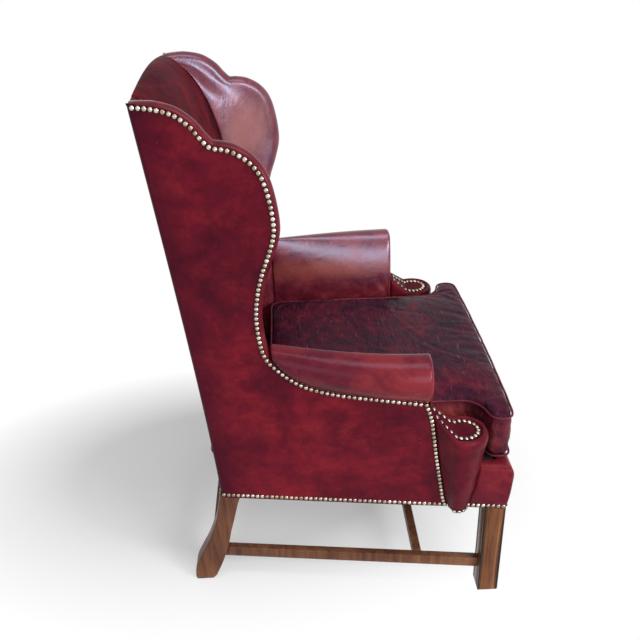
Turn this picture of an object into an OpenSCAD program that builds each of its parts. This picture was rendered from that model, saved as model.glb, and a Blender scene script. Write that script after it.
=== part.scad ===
// Wingback armchair in nailed leather, on a hardwood frame with square front legs and stretchers.
// Sizes are in millimetres. The origin lies on the floor under the middle of the chair,
// +Z is up, -Y is the way that the sitter faces and +X is the sitter's left.

/* [Overall] */
// Depth from the front of the cushion to the top of the back
chair_depth = 742; // [700:1:800]
// Height of the nail line at the rear corner of each wing
back_h = 1130; // [1060:1:1200]
// How far the top of the back lies behind its foot
back_rake = 96; // [60:1:120]
// How far the crest rises in the middle over its ends
crest_rise = 14; // [4:1:30]
// Clear height under the seat rails
leg_h = 251; // [230:1:262]
// Width across the outside back at the seat rail
rear_w = 540; // [530:1:560]
// Width across the outside back at the top
rear_top_w = 524; // [515:1:540]
// Width across the seat rails at the front
front_w = 714; // [706:1:730]
// Width across the wings at their foremost points
wing_span = 656; // [645:1:700]

/* [Leather and padding] */
// Thickness of the leather with its lining
leather_t = 2.5; // [1.5:0.1:3]
// Thickness of the padding under the leather of wings and arms
pad_t = 9; // [6:0.5:10]
// Room between one layer and the next
layer_gap = 0.3; // [0.2:0.1:0.5]

/* [Wings] */
// Thickness of a wing at its front edge
wing_t = 34; // [32:0.5:40]
// How far the rolled edge stands out past the nail line
wing_roll = 12; // [11:0.5:14]
// Thickness of the wing board
wing_board_t = 18; // [15:0.5:19]
// Distance from the outside of the wing in to the seam with the inside back
wing_seam_in = 50; // [46:1:56]

/* [Back] */
// Thickness of the back with its padding
back_t = 97; // [90:1:105]
// How far the inside back swells in the middle
back_swell = 8; // [0:0.5:14]
// Height at which the inside back starts to roll over the crest
back_roll_z = 900; // [860:1:940]
// Depth of the back frame from front to rear
back_frame_t = 24; // [20:0.5:28]
// Width of a back post
post_w = 40; // [34:1:44]
// Height of the crest rail
crest_rail_h = 62; // [45:1:75]
// Distance from the top of the crest rail up to the nail line's top
crest_rail_drop = 42; // [40:1:55]
// Height of the lower back rail
low_rail_h = 50; // [35:1:60]
// Room between the seat rails and the lower back rail
low_rail_room = 82; // [75:1:95]
// Width of a webbing strip
webbing_w = 50; // [40:1:60]

/* [Arms] */
// Height of the nail line under the front of the arm
arm_line_z = 539; // [530:1:548]
// Distance from the front of the chair to the front of the arms
arm_setback = 193; // [188:1:205]
// Height of the top of the arm at its front
arm_top_z = 642; // [634:1:650]
// Rise of the middle of the arm's roll from its front to the wing
arm_rise = 24; // [16:1:30]
// Radius of the arm's roll at its front
arm_front_r = 50; // [46:0.5:53]
// Radius of the arm's roll where it meets the wing
arm_rear_r = 35; // [32:0.5:38]
// Distance from the outside of the side in to the arm's inner face at the wing
arm_rear_w = 37.4; // [35:0.1:39]
// Distance from the middle of the roll in to the arm's inner face at its front
arm_front_w = 57; // [53:0.5:61]
// Distance from the outside of the side in to the middle of the roll at the front of the arm
arm_mid_in = 26.3; // [22:0.1:30]
// Distance from the outside of the side in to the middle of the roll at the wing
arm_rear_in = 23.4; // [20:0.1:26]
// Height of the arm rail
arm_rail_h = 22; // [18:1:26]
// Width of the arm rail
arm_rail_w = 30; // [24:1:34]
// Depth of the arm stump from front to rear
stump_d = 38; // [30:1:44]
// Width of the arm stump
stump_w = 26; // [22:1:27]

/* [Scrolls] */
// Radius of the scroll's rolled rim at its head
scroll_r = 53.5; // [52:0.5:55]
// Radius of the nail loop on the scroll's facing
facing_r = 31.5; // [30:0.5:32.5]
// Height of the facing at the scroll's head
scroll_head_z = 463; // [458:1:468]
// Height of the facing at its tail
scroll_tail_z = 508; // [500:1:514]
// Height of the rolled rim over the facing
rim_h = 3; // [2:0.5:6]
// Distance from the outside of the side in to the middle of the scroll's head
scroll_in = 20; // [18:0.1:22]
// Distance from the front of the chair to the middle of the scroll's head
scroll_setback = 121.5; // [120:0.5:124]
// How far the scroll's tip hangs below the rails
scroll_drop = 0; // [0:0.5:3]
// How far the tip lies further in than the head
tip_in = 3; // [1:0.5:4]
// How far the tip lies further back than the head
tip_back = 1; // [0:0.5:4]

/* [Legs and stretchers] */
// Width of a square front leg
leg_w = 47; // [40:0.5:49]
// Distance from the seat's side in to a front leg's outer face
leg_set = 5; // [4:0.5:7]
// Width of a rear leg, across the chair
rear_leg_w = 44; // [38:0.5:48]
// Depth of a rear leg at the seat rail
rear_leg_d = 47; // [42:0.5:50]
// How far a rear leg's foot lies behind its top
foot_kick = 78; // [60:1:88]
// Height of a stretcher
stretcher_h = 26; // [20:0.5:30]
// Thickness of a stretcher
stretcher_t = 19; // [15:0.5:22]
// Height of the underside of the stretchers
stretcher_z = 62; // [50:1:90]
// Distance from the front of the chair to the middle of the medial stretcher
medial_setback = 197; // [170:1:240]

/* [Seat] */
// Height of a seat rail
rail_h = 90; // [70:1:92]
// Thickness of a seat rail
rail_t = 25; // [20:0.5:27]
// Room between the rails and the lower edge of the leather
rail_room = 2; // [1.6:0.1:3]
// Height of the deck under the cushion
deck_z = 367; // [365:0.5:369]
// Thickness of the deck cloth and the burlap
cloth_t = 1; // [0.8:0.1:1.2]
// Thickness of the deck's padding
deck_pad_t = 14; // [11:0.5:14]
// Diameter of the spring wire
wire_d = 3.6; // [3:0.1:4]
// Number of seat springs
springs = 5; // [3:1:6]
// Depth of the front border's rolled top
border_in = 34; // [30:1:36]
// How far the front border leans out from its foot to its top
border_lean = 7; // [3:0.5:8]
// How far the border's face lies behind the front of the cushion
border_set = 6; // [4:0.5:10]
// Radius of the front border's corners
corner_r = 6; // [4.5:0.5:8]
// Radius of the roll on the front rail
edge_roll_r = 9; // [7:0.5:9.5]
// Leg of a corner block
block_l = 62; // [50:1:75]
// Height of a corner block
block_h = 55; // [40:1:65]

/* [Cushion] */
// Height of the cushion's lower piping
cushion_low_z = 376.5; // [376:0.5:382]
// Height of the cushion's upper piping
cushion_top_z = 475; // [465:1:485]
// Rise of the crown over the upper piping
crown = 21; // [12:0.5:26]
// Gap between the cushion and the arm's inner face
cushion_side_gap = 7; // [5:0.5:12]
// Distance from the middle of the scroll's head in to the end of the cushion's ear
ear_short = 19; // [15:0.5:25]
// Depth of an ear from front to rear
ear_d = 58; // [54:0.5:60]
// How far the ears lie behind the middle of the cushion's front
ear_set = 5; // [2:0.5:8]
// Radius of the cushion's rear corners
rear_corner_r = 25; // [18:0.5:30]
// Gap between the cushion and the inside back
cushion_gap = 34; // [30:1:45]
// Radius of the piping
piping_r = 2.6; // [2.2:0.1:2.8]
// How far the boxing draws in between the piping
boxing_in = 2; // [1:0.5:3]
// Thickness of the cushion's leather
cover_t = 2; // [1.5:0.1:2.1]
// Length of the zip in the rear boxing
zip_l = 380; // [300:1:400]
// Width of the zip
zip_w = 14; // [10:0.5:20]

/* [Nails] */
// Distance from one nail to the next
nail_pitch = 11; // [10.6:0.1:14]
// Radius of a nail's head
nail_r = 5; // [4.4:0.1:5.2]
// Height of a nail's head
nail_h = 3; // [2:0.1:3.4]
// Height of the border nails over the lower edge of the leather
border_nail_z = 7; // [6:0.5:10]
// Length of a corner block's screw
screw_l = 27; // [22:1:28]
// Diameter of a screw's head
screw_head_d = 9; // [7:0.5:10]
// Diameter of a screw's shank
screw_d = 4.5; // [3.5:0.1:5]

/* [Hidden] */
$fn = 48;

leather_color = [0.42, 0.06, 0.09];
cushion_color = [0.33, 0.05, 0.09];
wood_color = [0.30, 0.16, 0.09];
beech_color = [0.78, 0.62, 0.42];
nail_color = [0.80, 0.76, 0.66];
steel_color = [0.55, 0.56, 0.58];
cloth_color = [0.12, 0.12, 0.13];
jute_color = [0.62, 0.50, 0.34];
pad_color = [0.92, 0.90, 0.84];

// Layers, counted inwards from the outside of the leather
under_leather = leather_t + layer_gap;
under_pad = under_leather + pad_t + layer_gap;
board_in = under_leather + wing_board_t;

// Places along the depth of the chair
front_y = -chair_depth / 2;
rear_y = chair_depth / 2;
arm_front_y = front_y + arm_setback;
scroll_y = front_y + scroll_setback;
border_y = front_y + border_set + border_lean;

// Part of the way from a to b, and a share kept from 0 to 1, plain or eased at both ends
function mix(a, b, share) = a + (b - a) * share;
function limited(share) = min(1, max(0, share));
function eased(share) = limited(share) * limited(share) * (3 - 2 * limited(share));

// The outside of the chair. The back leans, and each side is a warped face: at one height it runs
// straight from the rear corner to the front, and it spreads more the higher it is.
rake_power_share = 1.2;
function height_share(z) = (z - leg_h) / (back_h - leg_h);
function back_y(z) = rear_y - back_rake * (1 - pow(limited(height_share(z)), rake_power_share));
function back_half(z) = mix(rear_w, rear_top_w, height_share(z)) / 2;

// Foremost point of the wing, as shares of the height over the arm line and of the side's length
wing_tip_height_share = 0.638;
wing_tip_reach_share = 0.463;
wing_tip_z = mix(arm_line_z, back_h, wing_tip_height_share);
line_front_y = arm_front_y + 2 * nail_r - layer_gap;
side_line_l = rear_y - line_front_y;
wing_tip_y = rear_y - side_line_l * wing_tip_reach_share;
seat_spread = (front_w / 2 - back_half(leg_h)) / (back_y(leg_h) - border_y);
wing_spread = (wing_span / 2 - back_half(wing_tip_z)) / (back_y(wing_tip_z) - wing_tip_y);
function spread(z) = mix(seat_spread, wing_spread, limited((z - leg_h) / (wing_tip_z - leg_h)));
function side_x(y, z) = back_half(z) + spread(z) * (back_y(z) - y);

// Places across the chair, counted in from the side
leg_out_x = front_w / 2 - leg_set;
scroll_x = side_x(scroll_y, scroll_head_z) - scroll_in;
arm_mid_x = side_x(arm_front_y, arm_line_z) - arm_mid_in;
arm_in_front = arm_mid_x - arm_front_w;

// Direction that points straight out of the side
function side_way(y, z) =
    [1, spread(z), (side_x(y, z) - side_x(y, z + layer_gap)) / layer_gap];

// Lengths along a path from its start to each point, and points at an even pitch along it
function run_lengths(path) = [
    for (i = 0, s = 0; i < len(path);
        s = s + (i + 1 < len(path) ? norm(path[i + 1] - path[i]) : 0), i = i + 1) s];
function point_along(path, runs, run) = [
    for (axis = [0 : len(path[0]) - 1])
        lookup(run, [for (i = [0 : len(path) - 1]) [runs[i], path[i][axis]]])];
function evenly_along(path, pitch) =
    let (runs = run_lengths(path), whole = runs[len(runs) - 1], count = round(whole / pitch))
    [for (k = [0 : count]) point_along(path, runs, whole * k / count)];

// Direction that points to the right of an open path, and the path moved that way
function rightward(path, i) =
    let (t = path[min(len(path) - 1, i + 1)] - path[max(0, i - 1)])
    [t[1], -t[0]] / norm(t);
function offset_path(path, out) = [for (i = [0 : len(path) - 1]) path[i] + out * rightward(path, i)];

// The same for a closed path that runs anticlockwise, where it points out
function loop_outward(loop, i) =
    let (n = len(loop), t = loop[(i + 1) % n] - loop[(i + n - 1) % n])
    [t[1], -t[0]] / norm(t);
function offset_loop(loop, out) =
    [for (i = [0 : len(loop) - 1]) loop[i] + out * loop_outward(loop, i)];

// Arc as a list of points
function arc(centre, r, from, to, steps) = [
    for (k = [0 : steps]) let (a = mix(from, to, k / steps)) centre + r * [cos(a), sin(a)]];

// Half outline and its mirror image as one closed path
function mirrored(half) =
    concat(half, [for (i = [len(half) - 1 : -1 : 0]) if (half[i][0] > 0) [-half[i][0], half[i][1]]]);

// Closed surface from its points and faces, turned so that its faces point out
function mesh_volume(points, faces) =
    let (parts = [for (f = faces) cross(points[f[0]], points[f[1]]) * points[f[2]]])
    parts * [for (p = parts) 1];
module closed_mesh(points, faces) {
    turned = mesh_volume(points, faces) > 0;
    polyhedron(points, turned ? [for (f = faces) [f[2], f[1], f[0]]] : faces);
}
function quad(a, b, c, d) = [[a, b, c], [a, c, d]];

// Sheet with a thickness, between two grids of points of the same size
module slab(outer, inner) {
    rows = len(outer);
    cols = len(outer[0]);
    points = concat([for (r = outer) each r], [for (r = inner) each r]);
    lift = rows * cols;
    faces = concat(
        [for (i = [0 : rows - 2]) for (k = [0 : cols - 2]) let (a = i * cols + k)
            each quad(a, a + 1, a + cols + 1, a + cols)],
        [for (i = [0 : rows - 2]) for (k = [0 : cols - 2]) let (a = lift + i * cols + k)
            each quad(a, a + cols, a + cols + 1, a + 1)],
        [for (i = [0 : rows - 2]) let (a = i * cols)
            each quad(a, a + cols, a + cols + lift, a + lift)],
        [for (i = [0 : rows - 2]) let (a = i * cols + cols - 1)
            each quad(a, a + lift, a + cols + lift, a + cols)],
        [for (k = [0 : cols - 2]) each quad(k, k + lift, k + 1 + lift, k + 1)],
        [for (k = [0 : cols - 2]) let (a = (rows - 1) * cols + k)
            each quad(a, a + 1, a + 1 + lift, a + lift)]);
    closed_mesh(points, faces);
}

// Solid through closed rings of points, closed at both ends round their middles
function middle(ring) = [for (axis = [0 : 2]) [for (p = ring) p[axis]] * [for (p = ring) 1 / len(ring)]];
module skin(rings) {
    n = len(rings[0]);
    m = len(rings);
    points = concat([for (r = rings) each r], [middle(rings[0]), middle(rings[m - 1])]);
    faces = concat(
        [for (i = [0 : m - 2]) for (k = [0 : n - 1]) let (a = i * n + k, b = i * n + (k + 1) % n)
            each quad(a, b, b + n, a + n)],
        [for (k = [0 : n - 1]) [m * n, (k + 1) % n, k]],
        [for (k = [0 : n - 1]) [m * n + 1, (m - 1) * n + k, (m - 1) * n + (k + 1) % n]]);
    closed_mesh(points, faces);
}

// Round cord along a path that lies nearly level
module cord(path, r, sides) {
    last = len(path) - 1;
    skin([for (i = [0 : last])
        let (t = path[min(last, i + 1)] - path[max(0, i - 1)],
            side = cross(t, [0, 0, 1]) / norm(cross(t, [0, 0, 1])),
            up = cross(side, t) / norm(t))
        [for (k = [0 : sides - 1])
            path[i] + r * (cos(360 * k / sides) * side + sin(360 * k / sides) * up)]]);
}

// Round cord along a closed loop at one height
module loop_cord(loop, z, r, sides) {
    n = len(loop);
    rings = [for (i = [0 : n - 1]) let (out = loop_outward(loop, i))
        [for (k = [0 : sides - 1]) let (a = 360 * k / sides)
            [loop[i][0] + r * cos(a) * out[0], loop[i][1] + r * cos(a) * out[1], z + r * sin(a)]]];
    closed_mesh([for (ring = rings) each ring],
        [for (i = [0 : n - 1]) for (k = [0 : sides - 1])
            let (j = (i + 1) % n, l = (k + 1) % sides)
            each quad(i * sides + k, i * sides + l, j * sides + l, j * sides + k)]);
}

// Outline drawn in side view, from front to rear and upwards, made solid across the chair
module across(x, width) {
    translate([x, 0, 0])
        rotate([90, 0, 90])
            linear_extrude(width) children();
}

// Nail head with its base at a point, pointing the way of a direction
nail_top_share = 0.5;
nail_seat = 2 * layer_gap;
module nail(at, way) {
    translate(at + nail_seat * way / norm(way))
        rotate([0, atan2(norm([way[0], way[1]]), way[2]), atan2(way[1], way[0])])
            cylinder(h = nail_h, r1 = nail_r, r2 = nail_r * nail_top_share, $fn = 24);
}

// A thing on the left side and its mirror image on the right
module both_sides() {
    children();
    mirror([1, 0, 0]) children();
}

// Nail line of the side in side view, from the rear corner of the wing down its front edge and
// along the arm: shares of the side's length from the rear, and of the height over the arm line
side_line_shares = [
    [0.000, 1.000], [0.050, 0.999], [0.098, 0.995], [0.156, 0.981], [0.206, 0.949], [0.237, 0.915],
    [0.268, 0.888], [0.305, 0.884], [0.346, 0.875], [0.394, 0.848], [0.430, 0.804], [0.452, 0.734],
    [0.463, 0.638], [0.446, 0.565], [0.417, 0.489], [0.393, 0.406], [0.381, 0.311], [0.387, 0.218],
    [0.406, 0.149], [0.456, 0.098], [0.526, 0.052], [0.600, 0.029], [0.696, 0.015], [0.850, 0.007],
    [1.000, 0.000]];
// Point of that line where the wing's edge meets the arm
wing_foot = 18;
side_line = [for (p = side_line_shares)
    [rear_y - p[0] * side_line_l, mix(arm_line_z, back_h, p[1])]];
foot_y = side_line[wing_foot][0];
foot_z = side_line[wing_foot][1];

// Nail line down the front of the side: shares of its height and of its slope towards the front
front_line_shares = [
    [1.000, 0.00], [0.865, 0.22], [0.677, 0.38], [0.483, 0.53], [0.281, 0.71], [0.076, 0.89],
    [0.000, 1.00]];
front_slope_share = 0.074;
front_line_slope = chair_depth * front_slope_share;
front_line = [for (p = front_line_shares)
    [line_front_y - p[1] * front_line_slope, mix(leg_h + border_nail_z, arm_line_z, p[0])]];
function front_line_y(z) =
    lookup(z, [for (i = [len(front_line) - 1 : -1 : 0]) [front_line[i][1], front_line[i][0]]]);

// Side panel: one leather from the wing to the seat, its edge just past the nail line
panel_edge = nail_r + layer_gap;
panel_top = offset_path(side_line, panel_edge);
panel_rows = concat(
    [for (i = [0 : len(panel_top) - 1]) if (i == 0 || panel_top[i][1] < panel_top[i - 1][1]) panel_top[i]],
    [for (i = [1 : len(front_line) - 1]) [front_line[i][0] - panel_edge, front_line[i][1]]],
    [[front_line[len(front_line) - 1][0] - panel_edge, leg_h]]);
function panel_grid(in) = [for (p = panel_rows)
    [for (y = [min(p[0], back_y(p[1]) - panel_edge), back_y(p[1])]) [side_x(y, p[1]) - in, y, p[1]]]];
module side_panel() {
    color(leather_color) slab(panel_grid(0), panel_grid(leather_t));
}

// Crest of the back, highest in the middle
crest_end_z = back_h + wing_roll - leather_t;
function crest_z(x) = crest_end_z + crest_rise * cos(90 * limited(abs(x) / back_half(back_h)));

// Seam between inside wing and inside back
function roll_share(z) = limited((z - back_roll_z) / (crest_end_z - back_roll_z));
function seam_y(z) = back_y(z) - max(under_leather, back_t * sqrt(1 - pow(roll_share(z), 2)));
function seam_x(z) = side_x(seam_y(z), z) - wing_seam_in;

// Height of the seam's point for each row of the wing: from the crest's end for the row at the rear
// corner, down to the level of the row itself from the wing's foremost point on
wing_tip = 12;
seam_power_share = 1.3;
function row_seam_z(i, z) = i < wing_tip
    ? mix(crest_end_z, side_line[wing_tip][1], pow(i / wing_tip, seam_power_share)) : z;

// Inside wing: a rolled front edge, round in section, and a face from there back to the seam.
// Below the wing's foot the edge is flat, where the arm meets it.
edge_r = wing_t / 2;
edge_mid = wing_roll - edge_r;
edge_start = acos((panel_edge + 2 * layer_gap - edge_mid) / edge_r);
edge_steps = 5;
face_steps = 3;
wing_low_shares = [0.95, 0.75, 0.4, 0];
wing_rows = concat(
    [for (i = [0 : wing_foot])
        [side_line[i] - (i == 0 ? [under_leather, 0] : [0, 0]), rightward(side_line, i), true,
            row_seam_z(i, side_line[i][1])]],
    [for (share = wing_low_shares) let (z = mix(deck_z + layer_gap, foot_z, share))
        [[foot_y, z], [-1, 0], false, z]]);
function wing_point(row, out, in) =
    let (y = row[0][0] + out * row[1][0], z = row[0][1] + out * row[1][1])
    [side_x(y, z) - in, y, z];
function wing_edge(row, step, in) =
    let (a = mix(edge_start, -90, step / edge_steps), r = edge_r - in)
    row[2] ? wing_point(row, edge_mid + r * cos(a), edge_r - r * sin(a))
        : wing_point(row, wing_roll - in, mix(under_leather + in, wing_t - in, step / edge_steps));
function wing_grid(in) = [for (row = wing_rows)
    let (edge = wing_edge(row, edge_steps, in), z = row[3],
        seam = [seam_x(z) + in, seam_y(z), z])
    concat([for (step = [0 : edge_steps]) wing_edge(row, step, in)],
        [for (k = [1 : face_steps]) mix(edge, seam, k / face_steps)])];
module inside_wing() {
    color(leather_color) slab(wing_grid(0), wing_grid(leather_t));
}
module wing_padding() {
    color(pad_color) slab(wing_grid(under_leather), wing_grid(under_leather + pad_t));
}

// Seat rails, their tops level
rail_z = leg_h + rail_room;
rail_top = rail_z + rail_h;

// Frame of the back, counted forwards from the outside back
frame_front = under_leather + back_frame_t;
post_out_x = rear_top_w / 2 - under_leather - layer_gap;
post_in_x = post_out_x - post_w;
post_top_z = back_h - crest_rail_drop;
post_foot_front = under_leather + rear_leg_d - leather_t;
low_rail_z = rail_top + low_rail_room;

// Wing board, from the side rail up to the crest, behind the rolled edge
board_low_shares = [0.75, 0.5, 0.25, 0];
board_rows = concat(
    [for (i = [1 : wing_foot]) let (p = side_line[i] + edge_mid * rightward(side_line, i))
        if (p[0] < back_y(p[1]) - frame_front - wing_roll && p[1] < post_top_z) p],
    [for (share = board_low_shares) [foot_y - edge_mid, mix(deck_z, foot_z, share)]],
    [[foot_y - edge_mid, rail_top]]);
function board_grid(in) = [for (p = board_rows)
    let (rear_y = back_y(p[1]) - (p[1] < deck_z ? post_foot_front : frame_front) - 2 * layer_gap)
    [for (y = [p[0], rear_y]) [side_x(y, p[1]) - in, y, p[1]]]];
module wing_board() {
    color(beech_color) slab(board_grid(under_leather + layer_gap), board_grid(board_in));
}

// Rear leg: swept back below the seat, and straight on up as the back post. Shares of the height
// under the seat, and of the kick at the rear and at the front face.
kick_shares = [[0, 1, 1], [0.16, 0.94, 0.77], [0.30, 0.74, 0.60], [0.44, 0.51, 0.47], [0.58, 0.33, 0.37],
    [0.72, 0.18, 0.25], [0.88, 0.08, 0.12], [1, 0, 0]];
leg_rear_y = back_y(leg_h) + leather_t;
leg_turns = len(kick_shares) - 1;
rear_leg_out_x = rear_w / 2;
post_shares = [0, 0.2, 0.4, 0.6, 0.8, 1];
post_heights = [for (share = post_shares) mix(deck_z, post_top_z, share)];
module rear_leg() {
    color(wood_color) {
        across(rear_leg_out_x - rear_leg_w, rear_leg_w)
            polygon(concat([for (s = kick_shares) [leg_rear_y + foot_kick * s[1], leg_h * s[0]]],
                [for (k = [leg_turns : -1 : 0]) let (s = kick_shares[k])
                    [leg_rear_y - rear_leg_d + foot_kick * s[2], leg_h * s[0]]]));
        across(post_in_x, post_w)
            polygon(concat([for (z = [leg_h, rail_top]) [back_y(z) - under_leather, z]],
                [for (z = post_heights) [back_y(z) - under_leather, z]],
                [for (k = [len(post_heights) - 1 : -1 : 0])
                    [back_y(post_heights[k]) - frame_front, post_heights[k]]],
                [for (z = [rail_top, leg_h]) [back_y(z) - post_foot_front, z]]));
    }
}

// Front leg: square, and cut back behind the leather above the rails' lower edge
leg_in_x = leg_out_x - leg_w;
leg_back_y = border_y + leg_w;
function rail_face_x(y) = side_x(y, leg_h) - under_leather - layer_gap;
module front_leg() {
    color(wood_color) {
        translate([leg_in_x, border_y, 0]) cube([leg_w, leg_w, leg_h]);
        translate([leg_in_x, border_y + under_leather, leg_h])
            cube([rail_face_x(leg_back_y) - leg_in_x, leg_w - under_leather, rail_top - leg_h]);
    }
}

// Stretchers: one on each side from leg to leg, a medial one between them and one at the rear
stretch_front_x = leg_out_x - leg_w / 2;
stretch_rear_x = rear_leg_out_x - rear_leg_w / 2;
stretch_rear_y = leg_rear_y - rear_leg_d / 2 + foot_kick / 2;
function stretcher_x(y) =
    mix(stretch_front_x, stretch_rear_x, (y - leg_back_y) / (stretch_rear_y - leg_back_y));
module side_stretcher() {
    color(wood_color)
        difference() {
            translate([0, 0, stretcher_z])
                linear_extrude(stretcher_h)
                    polygon([
                        [stretch_front_x - stretcher_t / 2, leg_back_y],
                        [stretch_front_x + stretcher_t / 2, leg_back_y],
                        [stretch_rear_x + stretcher_t / 2, stretch_rear_y],
                        [stretch_rear_x - stretcher_t / 2, stretch_rear_y]]);
            rear_leg();
        }
}
medial_y = front_y + medial_setback;
module medial_stretcher() {
    reach = [for (y = [medial_y - stretcher_t / 2, medial_y + stretcher_t / 2])
        [stretcher_x(y) - stretcher_t / 2, y]];
    color(wood_color)
        translate([0, 0, stretcher_z])
            linear_extrude(stretcher_h)
                polygon([reach[0], reach[1], [-reach[1][0], reach[1][1]], [-reach[0][0], reach[0][1]]]);
}
rear_stretcher_kick_share = 0.62;
module rear_stretcher() {
    in_x = rear_leg_out_x - rear_leg_w;
    mid_y = leg_rear_y - rear_leg_d / 2 + foot_kick * rear_stretcher_kick_share;
    color(wood_color)
        translate([-in_x, mid_y - stretcher_t / 2, stretcher_z])
            cube([2 * in_x, stretcher_t, stretcher_h]);
}

// Seat rails
front_rail_y = border_y + under_leather;
post_front_y = back_y(leg_h) - post_foot_front;
rear_rail_y = back_y(leg_h) - under_leather - rail_t;
module front_seat_rail() {
    color(beech_color)
        translate([-leg_in_x, front_rail_y, rail_z]) cube([2 * leg_in_x, rail_t, rail_h]);
}
module side_seat_rail() {
    color(beech_color)
        translate([0, 0, rail_z])
            linear_extrude(rail_h)
                polygon([
                    [rail_face_x(leg_back_y) - rail_t, leg_back_y], [rail_face_x(leg_back_y), leg_back_y],
                    [rail_face_x(post_front_y), post_front_y],
                    [rail_face_x(post_front_y) - rail_t, post_front_y]]);
}
module rear_seat_rail() {
    color(beech_color)
        translate([-post_in_x, rear_rail_y, rail_z]) cube([2 * post_in_x, rail_t, rail_h]);
}

// Corner blocks, glued across the corners of the rails, and the screws that hold them
block_z = rail_z + (rail_h - block_h) / 2;
block_edge = rail_t / 2;
front_in_y = front_rail_y + rail_t;
module front_block() {
    x = rail_face_x(leg_back_y) - rail_t - layer_gap;
    far_x = rail_face_x(leg_back_y + block_l) - rail_t - layer_gap;
    translate([0, 0, block_z])
        linear_extrude(block_h)
            polygon([
                [leg_in_x - block_l, front_in_y], [leg_in_x - layer_gap, front_in_y],
                [leg_in_x - layer_gap, leg_back_y + layer_gap], [x, leg_back_y + layer_gap],
                [far_x, leg_back_y + block_l], [far_x - block_edge, leg_back_y + block_l],
                [leg_in_x - block_l, front_in_y + block_edge]]);
}
module rear_block() {
    y = post_front_y - layer_gap;
    x = rail_face_x(y) - rail_t - layer_gap;
    far_x = rail_face_x(y - block_l) - rail_t - layer_gap;
    translate([0, 0, block_z])
        linear_extrude(block_h)
            polygon([
                [post_in_x - block_l, rear_rail_y], [post_in_x - layer_gap, rear_rail_y],
                [post_in_x - layer_gap, y], [x, y], [far_x, y - block_l],
                [far_x - block_edge, y - block_l], [post_in_x - block_l, rear_rail_y - block_edge]]);
}
// Middle of each block's slanted face, and the way that its screw goes in
front_face_ends = [[leg_in_x - block_l, front_in_y + block_edge],
    [rail_face_x(leg_back_y + block_l) - rail_t - layer_gap - block_edge, leg_back_y + block_l]];
rear_face_ends = [
    [rail_face_x(post_front_y - layer_gap - block_l) - rail_t - layer_gap - block_edge,
        post_front_y - layer_gap - block_l],
    [post_in_x - block_l, rear_rail_y - block_edge]];
function face_turn(ends) = let (t = ends[1] - ends[0]) atan2(-t[0], t[1]);
module on_block(ends) {
    mid = (ends[0] + ends[1]) / 2;
    for (z = [block_z + block_h / 4, block_z + block_h * 3 / 4])
        translate([mid[0], mid[1], z])
            rotate([0, 90, face_turn(ends)])
                children();
}
module screw() {
    head_h = screw_d / 2;
    translate([0, 0, -head_h]) cylinder(h = head_h, d = screw_head_d);
    cylinder(h = screw_l, d = screw_d);
}
module screw_hole() {
    translate([0, 0, -layer_gap]) cylinder(h = screw_l + 2 * layer_gap, d = screw_d);
}
module corner_blocks() {
    color(beech_color)
        both_sides() {
            difference() {
                front_block();
                on_block(front_face_ends) screw_hole();
            }
            difference() {
                rear_block();
                on_block(rear_face_ends) screw_hole();
            }
        }
}
module corner_screws() {
    color(steel_color)
        both_sides() {
            on_block(front_face_ends) screw();
            on_block(rear_face_ends) screw();
        }
}

// Crest rail and lower back rail, between the posts and leaning with them
module back_rail(low, high) {
    color(beech_color)
        across(-post_in_x, 2 * post_in_x)
            polygon([
                [back_y(low) - frame_front, low], [back_y(low) - under_leather, low],
                [back_y(high) - under_leather, high], [back_y(high) - frame_front, high]]);
}
module crest_rail() {
    back_rail(post_top_z - crest_rail_h, post_top_z);
}
module lower_back_rail() {
    back_rail(low_rail_z, low_rail_z + low_rail_h);
}

// Webbing and burlap on the front of the back frame, as flat layers that lean with it
layer_turns = 6;
function lean_grid(half_w, x, low, high, ahead) = [for (k = [0 : layer_turns])
    let (z = mix(low, high, k / layer_turns))
    [for (side = [-1, 1]) [x + side * half_w, back_y(z) - ahead, z]]];
web_front = frame_front + layer_gap + cloth_t;
cross_front = web_front + layer_gap + cloth_t;
burlap_front = cross_front + layer_gap + cloth_t;
web_half = post_out_x - rear_leg_w / 2;
web_columns = 3;
web_crossings = 5;
module back_webbing() {
    web_low = low_rail_z + layer_gap;
    color(jute_color) {
        for (k = [1 : web_columns])
            let (x = mix(-post_in_x, post_in_x, k / (web_columns + 1)))
                slab(lean_grid(webbing_w / 2, x, web_low, post_top_z, web_front),
                    lean_grid(webbing_w / 2, x, web_low, post_top_z, web_front - cloth_t));
        for (k = [1 : web_crossings])
            let (z = mix(web_low, post_top_z, k / (web_crossings + 1)))
                slab(lean_grid(web_half, 0, z - webbing_w / 2, z + webbing_w / 2, cross_front),
                    lean_grid(web_half, 0, z - webbing_w / 2, z + webbing_w / 2, cross_front - cloth_t));
    }
}
module back_burlap() {
    color(jute_color)
        slab(lean_grid(web_half, 0, low_rail_z, post_top_z, burlap_front),
            lean_grid(web_half, 0, low_rail_z, post_top_z, burlap_front - cloth_t));
}

// Inside back: nearly flat up to the roll, then round over the crest to the outside back. Each row
// holds a height share of the flat part, or the turn of the roll.
back_flat_shares = [0, 0.25, 0.5, 0.75];
back_columns = 8;
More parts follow.
